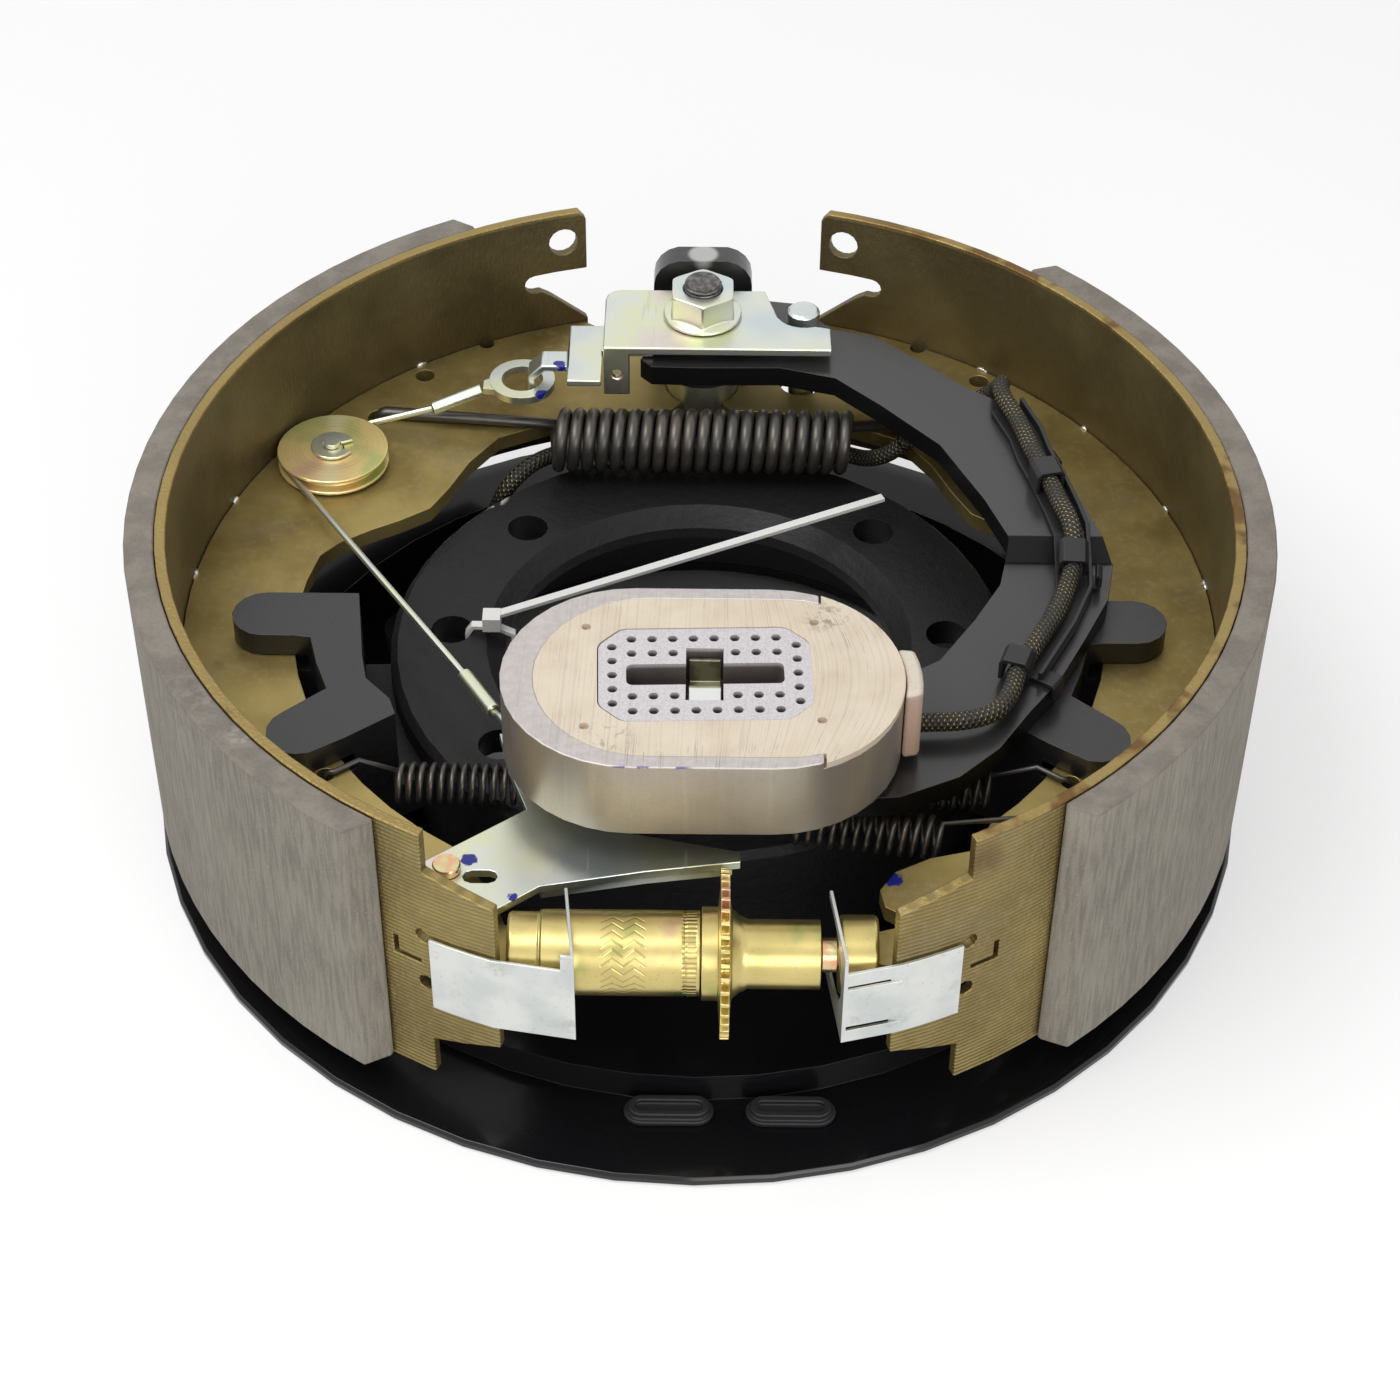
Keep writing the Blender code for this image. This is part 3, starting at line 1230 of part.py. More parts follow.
def core_outline(grow):
    """Rectangle with its corners cut off."""
    left, right = -CORE_LONG - grow, CORE_LONG + grow
    front, back = -CORE_WIDE - grow, CORE_WIDE + grow
    c = CORE_CORNER
    return [
        (left + c, front),
        (right - c, front),
        (right, front + c),
        (right, back - c),
        (right - c, back),
        (left + c, back),
        (left, back - c),
        (left, front + c),
    ]


def core_place():
    """Where the core stands, a little turned."""
    return at(*CORE) @ Matrix.Rotation(math.radians(CORE_TURN), 4, "Z")


def magnet_shell(finish, carrier):
    """Steel cup of the magnet."""
    shell = piece("magnet_shell", prism(stadium(MAGNET, MAGNET_LONG, MAGNET_WIDE, 10.0), MAGNET_LOW, MAGNET_HIGH), finish, carrier)
    middle = (MAGNET[0] + FACE_SHIFT, MAGNET[1])
    inside = stadium(middle, FACE_LONG + GAP, FACE_WIDE + GAP, 10.0)
    cut(shell, prism(inside, MAGNET_LOW + SHELL_FLOOR, SHOE_HIGH))
    cut(shell, disc(MAGNET, CORE_WELL_R, ARM_LOW, MAGNET_HIGH))
    beside = box_outline(FACE_WIDE + 1.5, MAGNET_LONG * 2, MAGNET[1] - MAGNET_LONG, MAGNET[1] + MAGNET_LONG)
    cut(shell, prism(beside, MAGNET_HIGH - FACE_LIP - GAP, SHOE_HIGH))


def magnet_face(finish, carrier):
    """Friction face that fills the cup round the core."""
    middle = (MAGNET[0] + FACE_SHIFT, MAGNET[1])
    low = MAGNET_LOW + SHELL_FLOOR + GAP
    face = piece("magnet_face", prism(stadium(middle, FACE_LONG, FACE_WIDE, 10.0), low, MAGNET_HIGH - 0.1), finish, carrier)
    end = (MAGNET[0] + MAGNET_LONG - MAGNET_WIDE, MAGNET[1])
    lip = arc(MAGNET_WIDE, -FACE_LIP_TURN, FACE_LIP_TURN, end)
    join(face, prism(lip, MAGNET_HIGH - FACE_LIP, MAGNET_HIGH - 0.1))
    cut(face, prism(core_outline(GAP), low - 2.0, SHOE_HIGH, core_place()))
    pins = [(-28.9, -52.8), (29.7, -50.2), (-28.2, -90.0), (30.9, -87.0)]
    cut(face, together(*[disc(pin, 1.3, MAGNET_HIGH - 2.0, SHOE_HIGH, 8) for pin in pins]))


def core_holes():
    """Rings of blind holes round the core's slot."""
    spots = []
    for y in (-CORE_PITCH * 2.55, CORE_PITCH * 2.55):
        spots += [(CORE_PITCH * (i - 3.5), y) for i in range(8)]
    for y in (-CORE_PITCH * 1.52, CORE_PITCH * 1.52):
        spots += [(side * CORE_PITCH * (i + 1.5), y) for i in range(3) for side in (-1, 1)]
    for x in (-CORE_PITCH * 4.45, CORE_PITCH * 4.45):
        spots += [(x, CORE_PITCH * (i - 2)) for i in range(5)]
    return spots


def magnet_core(finish, carrier):
    """Perforated inner pole with a slot for the clip."""
    low = MAGNET_LOW + SHELL_FLOOR + GAP
    core = piece("magnet_core", prism(core_outline(0), low, MAGNET_HIGH - 0.3, core_place()), finish, carrier)
    cut(core, disc(MAGNET, CORE_WELL_R, ARM_LOW, CORE_WELL_HIGH))
    slot = box_outline(-CORE_SLOT_LONG, CORE_SLOT_LONG, -CORE_SLOT_WIDE, CORE_SLOT_WIDE)
    cut(core, prism(slot, ARM_LOW, SHOE_HIGH, core_place()))
    cut(core, disc(MAGNET, POST_R + RUN, ARM_LOW, SHOE_HIGH))
    cut(core, prism(box_outline(-3.3, 6.2, -79.9, -60.5), CORE_WELL_HIGH + 4.0, SHOE_HIGH))
    hexagons = [arc(CORE_HOLE_R, 0, 300.0, spot, 60.0) for spot in core_holes()]
    holes = [prism(hexagon, MAGNET_HIGH - 3.0, SHOE_HIGH, core_place()) for hexagon in hexagons]
    cut(core, together(*holes))


def magnet_clip(finish, carrier):
    """Bent steel clip that holds the magnet on its post."""
    low = CORE_WELL_HIGH + 5.7
    side = [(-79.3, low + 6.5), (-74.2, low + 6.5), (-73.2, low), (-63.5, low), (-61.9, low + 6.9)]
    piece("magnet_clip", prism(strip(side, 1.2), 0, 8.2, facing_side(-2.55)), finish, carrier)


def magnet_lug(finish, carrier):
    """Cover over the place where the lead enters the magnet."""
    centre = (MAGNET[0] + MAGNET_LONG - MAGNET_WIDE, MAGNET[1])
    outline = arc(MAGNET_WIDE + GAP, -10.7, 20.0, centre) + arc(MAGNET_WIDE + 4.6, 17.0, -8.0, centre)
    piece("magnet_lug", prism(outline, MAGNET_LOW + 0.4, MAGNET_HIGH - 0.4), finish, carrier)


def magnet_post(finish, carrier):
    """Post riveted to the arm, on which the magnet rides."""
    under = ARM_LOW - GAP
    profile = [
        (0, under - 1.8),
        (POST_R + 2.6, under - 1.8),
        (POST_R + 2.6, under),
        (POST_R, under),
        (POST_R, POST_HIGH - 0.8),
        (POST_R - 0.8, POST_HIGH),
        (0, POST_HIGH),
    ]
    piece("magnet_post", turned(profile, at(*MAGNET), SMALL_STEPS), finish, carrier)


MAGNET_SPRING_R = 8.4
MAGNET_SPRING_WIRE = 0.7


def magnet_spring(finish, carrier):
    """Coil in the core's well that holds the magnet up to the drum."""
    low = ARM_TOP_FRONT + GAP + MAGNET_SPRING_WIRE
    high = CORE_WELL_HIGH - GAP - MAGNET_SPRING_WIRE
    points = coil((*MAGNET, low), (*MAGNET, high), MAGNET_SPRING_R, 3, per_turn=9)
    wire("magnet_spring", points, MAGNET_SPRING_WIRE, finish, 0, carrier)


def hook_down(spot, z, low, towards):
    """Wire end that comes along above a web and turns down through its hole."""
    bend = 1.6
    direction = 1 if towards[0] > spot[0] else -1
    return [(spot[0], spot[1], low), (spot[0], spot[1], z - bend), (spot[0] + direction * bend, spot[1], z)]


def return_spring(finish):
    """Heavy spring behind the hub that pulls both shoes to the stud."""
    z = WEB_HIGH + RETURN_WIRE_R + GAP + 0.2
    back = RETURN_Y + RETURN_COIL_R
    turns = coil((-RETURN_HALF, RETURN_Y, z), (RETURN_HALF, RETURN_Y, z), RETURN_COIL_R, RETURN_TURNS, per_turn=8)
    left = hook_down((-RETURN_HOOK[0], RETURN_HOOK[1]), z, WEB_LOW - 2.6, (0, back))
    right = hook_down(RETURN_HOOK, z, WEB_LOW - 2.6, (0, back))
    points = left + turns + list(reversed(right))
    wire("return_spring", points, RETURN_WIRE_R, finish, 0)


SHOE_SPRING_Z = 57.5
SHOE_COIL_LEFT = (-80.0, -33.0)
SHOE_COIL_RIGHT = (35.0, 77.0)
LEVER_SPRING_HOLE = (86.6, -82.6)


def shoe_spring(finish):
    """Light spring between the lower parts of the webs: two coils and a straight middle."""
    y = SHOE_HOOK[1]
    hook_z = WEB_HIGH + SHOE_WIRE_R + GAP
    back = y + SHOE_COIL_R
    left = hook_down((-SHOE_HOOK[0], y), hook_z, WEB_LOW - 2.0, (0, y))
    right = hook_down(SHOE_HOOK, hook_z, WEB_LOW - 2.0, (0, y))
    coil_left = coil((SHOE_COIL_LEFT[0], y, SHOE_SPRING_Z), (SHOE_COIL_LEFT[1], y, SHOE_SPRING_Z), SHOE_COIL_R, 17, per_turn=6)
    coil_right = coil((SHOE_COIL_RIGHT[0], y, SHOE_SPRING_Z), (SHOE_COIL_RIGHT[1], y, SHOE_SPRING_Z), SHOE_COIL_R, 15, per_turn=6)
    lead_in = [(-89.5, back - 0.4, hook_z)]
    middle = [(-29.0, y, SHOE_SPRING_Z - 3.5), (31.0, y, SHOE_SPRING_Z - 3.5)]
    lead_out = [(89.5, back - 0.4, hook_z)]
    points = left + lead_in + coil_left + middle + coil_right + lead_out + list(reversed(right))
    wire("shoe_spring", points, SHOE_WIRE_R, finish, 0)


def lever_spring(finish):
    """Spring that draws the lever back, from the right web to below the lever."""
    z = 58.6
    hook_z = WEB_HIGH + SHOE_WIRE_R + GAP
    turns = coil((63.0, -87.6, z), (24.0, -82.0, z), LEVER_COIL_R, 13, 0, per_turn=6)
    start = hook_down(LEVER_SPRING_HOLE, hook_z, WEB_LOW - 2.0, (0, 0))
    tail = [(17.0, -80.2, hook_z + 0.8), (-46.0, -60.0, LEVER_LOW - GAP - SHOE_WIRE_R)]
    wire("lever_spring", start + turns + tail, SHOE_WIRE_R, finish, 0)


TIE_WIDE = 2.5
TIE_THICK = 1.1
TIE_Y = 1.8
TIE_LEFT = -65.0
TIE_RIGHT = BORE_R - 1.9


def cable_tie(finish):
    """Nylon tie looped through a bolt hole round the flange, with its long tail left on."""
    low = FLANGE_LOW - GAP
    loop = [(TIE_LEFT, low), (-TIE_RIGHT, low), (-TIE_RIGHT, FLANGE_HIGH - 1.0), (-58.0, FLANGE_HIGH + 1.6)]
    loop += [(-63.6, FLANGE_HIGH + 1.6), (TIE_LEFT, FLANGE_HIGH - 0.6)]
    band = closed_band(loop, TIE_THICK)
    tie = piece("cable_tie", prism(band, 0, TIE_WIDE, facing_front(TIE_Y - TIE_WIDE / 2)), finish)
    inner = prism(loop, -TIE_WIDE, TIE_WIDE * 2, facing_front(TIE_Y - TIE_WIDE / 2))
    cut(tie, inner)
    head = box_outline(-61.0, -56.0, TIE_Y - 2.6, TIE_Y + 2.6)
    join(tie, prism(head, FLANGE_HIGH + 1.9, FLANGE_HIGH + 6.4))
    start, end = Vector((-58.6, TIE_Y, 55.0)), Vector((53.4, 52.6, 58.6))
    run = end - start
    turn = math.atan2(run.y, run.x)
    rise = math.asin(run.z / run.length)
    place = at(*start) @ Matrix.Rotation(turn, 4, "Z") @ Matrix.Rotation(-rise, 4, "Y")
    tail = prism(box_outline(0, run.length, -TIE_WIDE / 2, TIE_WIDE / 2), 0, TIE_THICK, place)
    join(tie, tail)


def closed_band(loop, thick):
    """The outline of a closed loop, grown outwards by the band's thickness."""
    count = len(loop)
    grown = []
    for i in range(count):
        before, here, after = (Vector(loop[(i + k) % count]) for k in (-1, 0, 1))
        first = (here - before).normalized()
        second = (after - here).normalized()
        out_first = Vector((first.y, -first.x))
        out_second = Vector((second.y, -second.x))
        middle = (out_first + out_second).normalized()
        grown.append(tuple(here + middle * thick / middle.dot(out_first)))
    return grown


def main():
    for old in list(bpy.data.objects):
        bpy.data.objects.remove(old)
    finish = finishes()
    left = axis_point("secondary_shoe_axis", (*ANCHOR, WEB_MID))
    right = axis_point("primary_shoe_axis", (CAP_LEFT + 2.7, ADJUSTER_Y, ADJUSTER_Z), left)
    arm = axis_point("arm_axis", (*ANCHOR, ARM_UP))
    magnet = axis_point("magnet_axis", (*MAGNET, MAGNET_LOW), arm)
    pulley_axis = axis_point("pulley_axis", (*PULLEY, CABLE_Z), left)
    lever_axis = axis_point("lever_axis", (*LEVER_PIN, LEVER_LOW), left)
    screw_axis = axis_point("adjuster_axis", (STAR_LEFT, ADJUSTER_Y, ADJUSTER_Z), left)

    backing_plate(finish["black_gloss"])
    spider(finish["black_cast"])
    for name, x in zip(("access_plug_left", "access_plug_right"), PLUG_X):
        access_plug(name, x, finish["rubber"])
    lead_grommet(finish["rubber"])
    for number, turn in enumerate(EAR_TURNS, 1):
        plate_rivet(f"plate_rivet_{number}", turn, finish["black_cast"])
    anchor_stud(finish["bright_zinc"])
    anchor_nut(finish["bright_zinc"])
    anchor_plate(finish["bright_zinc"])
    cable_hook_plate(finish["bright_zinc"])
    cable_tie(finish["nylon"])

    shoe(-1, finish, left)
    shoe(1, finish, right)
    pulley(finish["yellow_zinc"], pulley_axis)
    top = PULLEY_LOW + PULLEY_THICK
    web_pin("pulley_pin", PULLEY, PULLEY_PIN_R, None, (PULLEY_PIN_R - 0.6, top + GAP, top + 2.6), finish["yellow_zinc"], left)
    pulley_clip(finish["bright_zinc"], left)
    cable(finish, left)
    cable_ends(finish["bright_zinc"], left)
    collar = (LEVER_PIN_R + 2.2, LEVER_LOW - GAP)
    head = (LEVER_PIN_R + 1.4, LEVER_HIGH + RUN, LEVER_HIGH + 2.4)
    web_pin("lever_pin", LEVER_PIN, LEVER_PIN_R, collar, head, finish["copper"], left)
    adjuster_lever(finish["bright_zinc"], lever_axis)

    adjuster_barrel(finish["yellow_zinc"], left)
    star_wheel(finish["yellow_zinc"], screw_axis)
    thrust_washer(finish["copper"], screw_axis)
    adjuster_cap(finish["yellow_zinc"], right)
    adjuster_clip("adjuster_clip_left", -1, finish["bright_zinc"], left)
    adjuster_clip("adjuster_clip_right", 1, finish["bright_zinc"], right)

    actuating_arm(finish["black_cast"], arm)
    arm_bushing(finish["spring_steel"], arm)
    cam_pin(finish["bright_zinc"], arm)
    wire_guide(finish["black_plastic"], arm)
    lead(finish["sleeve"], arm)
    magnet_post(finish["bright_zinc"], arm)
    magnet_spring(finish["spring_steel"], arm)
    magnet_shell(finish["magnet_steel"], magnet)
    magnet_face(finish["friction_cream"], magnet)
    magnet_core(finish["magnet_steel"], magnet)
    magnet_clip(finish["magnet_steel"], magnet)
    magnet_lug(finish["friction_cream"], magnet)

    return_spring(finish["spring_steel"])
    shoe_spring(finish["spring_steel"])
    lever_spring(finish["spring_steel"])


main()
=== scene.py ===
"""Looks of an electric trailer brake: the finish of every piece, its springs, cable and lead."""

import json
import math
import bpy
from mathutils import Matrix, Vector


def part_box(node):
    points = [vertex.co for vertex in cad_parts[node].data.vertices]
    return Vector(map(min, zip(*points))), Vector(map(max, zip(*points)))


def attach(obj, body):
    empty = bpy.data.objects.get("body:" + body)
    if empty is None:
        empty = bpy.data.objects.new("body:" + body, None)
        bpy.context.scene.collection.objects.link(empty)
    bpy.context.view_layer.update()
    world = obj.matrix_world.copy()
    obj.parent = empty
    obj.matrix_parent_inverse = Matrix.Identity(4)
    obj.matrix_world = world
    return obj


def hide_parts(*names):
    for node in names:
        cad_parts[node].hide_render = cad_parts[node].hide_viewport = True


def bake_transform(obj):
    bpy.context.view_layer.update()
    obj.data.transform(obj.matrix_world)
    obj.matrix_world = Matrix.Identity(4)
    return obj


bl_info = {
    "name": "Trailer Brake",
    "version": (1, 0, 0),
    "blender": (4, 5, 0),
    "location": "View3D > Sidebar > Brake",
    "description": "Builds the finished look of an electric trailer brake",
    "category": "Add Mesh",
}

import bmesh
import bpy
from bpy.props import FloatProperty, FloatVectorProperty, PointerProperty
from mathutils import Matrix, Vector

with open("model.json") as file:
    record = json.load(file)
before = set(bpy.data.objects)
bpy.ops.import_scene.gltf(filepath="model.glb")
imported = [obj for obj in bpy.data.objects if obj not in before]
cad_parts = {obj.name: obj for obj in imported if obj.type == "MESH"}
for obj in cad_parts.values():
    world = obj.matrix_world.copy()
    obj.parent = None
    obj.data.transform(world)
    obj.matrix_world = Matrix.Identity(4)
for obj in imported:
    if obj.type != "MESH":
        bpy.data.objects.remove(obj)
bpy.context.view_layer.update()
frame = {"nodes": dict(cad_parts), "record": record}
RECORD = frame["record"]
NODE_BODY = {node: body for body, nodes in RECORD["behaviour"]["bodies"].items() for node in nodes}
NODE_SLOT = {entry["node"]: entry["material_slot"] for entry in RECORD["subparts"]}

MM = 0.001
FULL_TURN = 2 * math.pi
QUARTER_TURN = math.pi / 2
WELD = 0.002 * MM
FLAT = math.radians(0.6)
SHARP = math.radians(34.0)
UPRIGHT = 0.99

FLOOR_GLOW = 0.52
FLOOR_SHADE = (100.0, 145.0)
FLOOR_HALF = 3.0
ROOM_LIGHT = 0.5
LAMPS = (
    ("key softbox", (-0.5, -0.25, 1.2), (0.0, 0.0, 0.05), 0.9, 0.7, 9.0),
    ("front fill", (0.45, -1.25, 0.6), (0.0, 0.0, 0.05), 0.9, 0.7, 6.0),
)
CAMERA_SPOT = (0.0, -628.1, 600.2)
CAMERA_AIM = (0.32, -81.5, 100.6)
CAMERA_ROLL = math.radians(0.61)
SENSOR = 36.0


def mm(*values):
    """A point given in millimetres."""
    return Vector(values) * MM


def colour(name, about, default):
    return FloatVectorProperty(
        name=name, description=about, subtype="COLOR", size=3, min=0.0, max=1.0, default=default
    )


def length(name, about, default):
    return FloatProperty(
        name=name, description=about, subtype="DISTANCE", unit="LENGTH", default=default
    )


class BrakeColours(bpy.types.PropertyGroup):
    paint: colour("Paint", "Glossy black of the backing plate", (0.006, 0.006, 0.007))
    casting: colour("Casting", "Satin black of the spider and the arm", (0.011, 0.011, 0.012))
    olive: colour("Olive zinc", "Plating of the shoes", (0.41, 0.32, 0.115))
    olive_dark: colour("Dark olive", "Plating where it is thick", (0.25, 0.185, 0.062))
    lining: colour("Lining", "Friction material of the shoes", (0.335, 0.305, 0.255))
    zinc: colour("Bright zinc", "Plating of plates, clips and lever", (0.70, 0.73, 0.66))
    gold: colour("Yellow zinc", "Plating of the pulley and adjuster", (0.56, 0.465, 0.18))
    copper: colour("Copper", "Plating of the lever's pin and the thrust washer", (0.84, 0.42, 0.26))
    steel: colour("Spring steel", "Oiled wire of the springs", (0.085, 0.080, 0.074))
    cup: colour("Magnet steel", "Steel cup of the magnet", (0.50, 0.455, 0.40))
    cream: colour("Friction face", "Moulded face of the magnet", (0.72, 0.63, 0.50))
    rubber: colour("Rubber", "Plugs and grommet", (0.012, 0.012, 0.013))
    braid: colour("Braid", "Sleeve of the lead", (0.016, 0.015, 0.013))
    fleck: colour("Flecks", "Gold yarn in the sleeve", (0.62, 0.47, 0.10))
    nylon: colour("Nylon", "Cable tie", (0.80, 0.80, 0.77))
    dye: colour("Marking dye", "Blue inspection dabs", (0.012, 0.018, 0.22))


class BrakeSizes(bpy.types.PropertyGroup):
    rounding: length("Rounding", "Radius on the edges of pressed sheet", 0.25 * MM)
    cast_rounding: length("Cast rounding", "Radius on the edges of the casting", 1.1 * MM)
    wire: length("Return wire", "Radius of the return spring's wire", 1.9 * MM)
    thin_wire: length("Thin wire", "Radius of the light springs' wire", 0.8 * MM)
    lead: length("Lead", "Radius of the lead in its sleeve", 2.5 * MM)
    camera_lens: FloatProperty(
        name="Lens", description="Focal length on a 36 mm sensor", default=76.09, unit="CAMERA"
    )


class Signal:
    """A value that a node gives, for use in sums."""

    def __init__(self, nodes, socket):
        self.nodes = nodes
        self.socket = socket

    def maths(self, operation, other=0.0, turned=False):
        pair = (other, self) if turned else (self, other)
        return self.nodes.node("ShaderNodeMath", {"operation": operation}, {0: pair[0], 1: pair[1]})

    def __add__(self, other):
        return self.maths("ADD", other)

    __radd__ = __add__

    def __sub__(self, other):
        return self.maths("SUBTRACT", other)

    def __rsub__(self, other):
        return self.maths("SUBTRACT", other, True)

    def __mul__(self, other):
        return self.maths("MULTIPLY", other)

    __rmul__ = __mul__

    def __truediv__(self, other):
        return self.maths("DIVIDE", other)

    def __abs__(self):
        return self.maths("ABSOLUTE")

    def folded(self, half):
        """Goes evenly up to half and down to 0 again."""
        return self.maths("PINGPONG", half)

    def between(self, low, high):
        """Rises smoothly from 0 at low to 1 at high."""
        settings = {"interpolation_type": "SMOOTHSTEP"}
        values = {"Value": self, "From Min": low, "From Max": high}
        return self.nodes.node("ShaderNodeMapRange", settings, values)

    def across(self, low, high):
        """Rises smoothly from 0 at low to 1 at high, both in millimetres."""
        return self.between(low * MM, high * MM)


def pick(sockets, key):
    """A socket by its place, its identifier or its name."""
    if isinstance(key, int):
        return sockets[key]
    for socket in sockets:
        if socket.identifier == key:
            return socket
    return sockets[key]


class Nodes:
    """A node tree, with one method for its nodes and Python expressions for its sums."""

    def __init__(self, tree):
        self.tree = tree

    def put(self, socket, value):
        if isinstance(value, Signal):
            self.tree.links.new(value.socket, socket)
        elif socket.type == "RGBA":
            socket.default_value = (*value, 1.0)
        else:
            socket.default_value = value

    def node(self, kind, settings=None, values=None, output=0):
        """A node with these settings and these values or links in its sockets."""
        made = self.tree.nodes.new(kind)
        for name, setting in (settings or {}).items():
            if name == "stops":
                ends = made.color_ramp.elements
                while len(ends) < len(setting):
                    ends.new(0.5)
                for stop, (spot, value) in zip(ends, setting):
                    stop.position = spot
                    stop.color = (*value, 1.0)
            else:
                setattr(made, name, setting)
        for key, value in (values or {}).items():
            self.put(pick(made.inputs, key), value)
        return Signal(self, pick(made.outputs, output))

    def seen(self):
        """1 for what the camera sees directly, by reflection or through a clear piece."""
        rays = [self.node("ShaderNodeLightPath", output=f"Is {kind} Ray") for kind in SEEING_RAYS]
        return (rays[0] + rays[1] + rays[2]).between(0.0, 1.0)


class Finish(Nodes):
    """A material on a piece, whose places are those of the whole assembly."""

    def __init__(self, name, roughness=0.5, metallic=0.0, **fixed):
        self.material = bpy.data.materials.new(name)
        self.material.use_nodes = True
        super().__init__(self.material.node_tree)
        self.shader = self.tree.nodes["Principled BSDF"]
        self.paint("Roughness", roughness)
        self.paint("Metallic", metallic)
        for socket, value in fixed.items():
            self.paint(socket.replace("_", " ").title().replace("Ior", "IOR"), value)
        self.place = self.node("ShaderNodeTexCoord", output="Object")

    def paint(self, socket, value):
        self.put(self.shader.inputs[socket], value)

    def lay(self, factor, colour):
        """Lays a colour over the tone so far, where the factor is 1."""
        self.tone = self.mix(factor, self.tone, colour)

    def surface(self, roughness, relief, depth, strength):
        """The tone, the roughness, and a relief whose full height is the depth in millimetres."""
        self.paint("Base Color", self.tone)
        self.paint("Roughness", roughness)
        self.bump(relief, depth, strength)

    def bump(self, relief, depth, strength):
        values = {"Height": relief, "Distance": depth * MM, "Strength": strength}
        self.paint("Normal", self.node("ShaderNodeBump", None, values))

    def stretched(self, x, y, z):
        return self.node("ShaderNodeMapping", None, {"Vector": self.place, "Scale": (x, y, z)})

    def noise(self, scale, detail=3.0, rough=0.55, where=None):
        values = {"Vector": where or self.place, "Scale": scale, "Detail": detail, "Roughness": rough}
        return self.node("ShaderNodeTexNoise", None, values, "Fac")

    def cloud(self, scale, low, high, detail=3.0, rough=0.55):
        """Patches of noise, 0 below low and 1 above high."""
        return self.noise(scale, detail, rough).between(low, high)

    def lines(self, way, scale, detail):
        """Uneven lines that lie across a way."""
        values = {"W": way, "Scale": scale, "Detail": detail}
        return self.node("ShaderNodeTexNoise", {"noise_dimensions": "1D"}, values, "Fac")

    def cells(self, scale):
        values = {"Vector": self.place, "Scale": scale}
        return self.node("ShaderNodeTexVoronoi", None, values, "Distance")

    def mix(self, factor, first, second):
        values = {"Factor_Float": factor, "A_Color": first, "B_Color": second}
        return self.node("ShaderNodeMix", {"data_type": "RGBA"}, values, "Result_Color")

    def ramp(self, signal, *stops):
        return self.node("ShaderNodeValToRGB", {"stops": stops}, {"Fac": signal})

    def axis(self, letter, where=None):
        return self.node("ShaderNodeSeparateXYZ", None, {0: where or self.place}, letter)

    def along(self, letter, low, high):
        """Rises smoothly from 0 to 1 between two places on an axis, in millimetres."""
        return self.axis(letter).across(low, high)

    def band(self, letter, low, high):
        """1 between two places on an axis, in millimetres, with soft ends."""
        rise = self.along(letter, low - BAND_SOFT, low + BAND_SOFT)
        return rise * self.along(letter, high + BAND_SOFT, high - BAND_SOFT)

    def vector(self, operation, first, second, output=0):
        return self.node("ShaderNodeVectorMath", {"operation": operation}, {0: first, 1: second}, output)

    def reach(self, point):
        """Distance from a point in millimetres."""
        return self.vector("DISTANCE", self.place, mm(*point), "Value")

    def near(self, point, radius):
        """1 at a point in millimetres, and 0 from a radius on."""
        return 1.0 - self.reach(point).across(0.0, radius)

    def patch(self, point, radius, scale, low, high, detail=3.0, rough=0.55):
        """A broken patch round a point in millimetres."""
        return self.near(point, radius) * self.cloud(scale, low, high, detail, rough)

    def dabs(self, scale, low, high, *spots):
        """Broken dabs round points in millimetres, each with its radius."""
        whole = self.near(*spots[0])
        for point, radius in spots[1:]:
            whole = whole + self.near(point, radius)
        return (whole * self.noise(scale)).between(low, high)

    def dusted(self, base, dust, amount):
        """Fine pale specks of dust on a base colour."""
        specks = self.cloud(2600.0, 0.69, 0.76, 2.0) * self.cloud(90.0, 0.35, 0.7, 2.0)
        return self.mix(specks * amount, base, dust)


def look(name):
    """A colour from the sidebar."""
    return tuple(getattr(bpy.context.scene.brake_colours, name))


def sizes():
    return bpy.context.scene.brake_sizes


MAKERS = {}
MATERIALS = {}


def made_as(title, **fixed):
    """Keeps a maker with its material's name and the constants on its shader."""

    def keep(maker):
        MAKERS[maker.__name__] = (title, fixed, maker)
        return maker

    return keep


def finish(name):
    """The material of this finish, made once."""
    if name not in MATERIALS:
        title, fixed, maker = MAKERS[name]
        made = Finish(title, **fixed)
        maker(made)
        MATERIALS[name] = made.material
    return MATERIALS[name]


SEEING_RAYS = ("Camera", "Glossy", "Transmission")
BAND_SOFT = 0.2

# Places on the assembly, in millimetres, where a finish changes.
PLATE_LIP = (148.0, 156.0)
CASTING_TOP = (52.0, 60.0)
CASTING_PALE_PATCH = (0.0, 129.0, 92.0)
ARM_TOP = (80.0, 80.25)
ARM_STEP = (74.2, 74.45)
ARM_STEP_EDGE = (4.6, 3.6)
SHOE_TOP = (99.6, 100.5)
SHOE_SCORCHED = (30.0, 70.0)
RIM_FRONT = (-84.0, -96.0)
RIM_BELOW = (100.3, 99.0)
RIB_HALF = 0.675
LINING_TOP = (99.4, 100.2)
THREAD_BOTTOM = (95.2, 95.6)
THREAD_HALF = 0.6
CLIP_BACK = (-74.4, -73.8)
CUP_TOP = (99.25, 99.42)
CUP_RIM = (98.9, 99.2)
CUP_RIM_FRONT = (-104.4, -104.7)
FACE_TOP = (99.0, 99.3)
FACE_MIDDLE_Y = -71.0
ENTRY_TOP = (96.5, 99.0)
CORE_SHADE_DEPTH = (98.8, 97.6)
PULLEY_SPOT = (-108.6, 64.8)
PULLEY_RING_HALF = 0.35
ADJUSTER_Y = -128.0
ADJUSTER_Z = 57.85
CHEVRONS = (-23.4, -12.5)
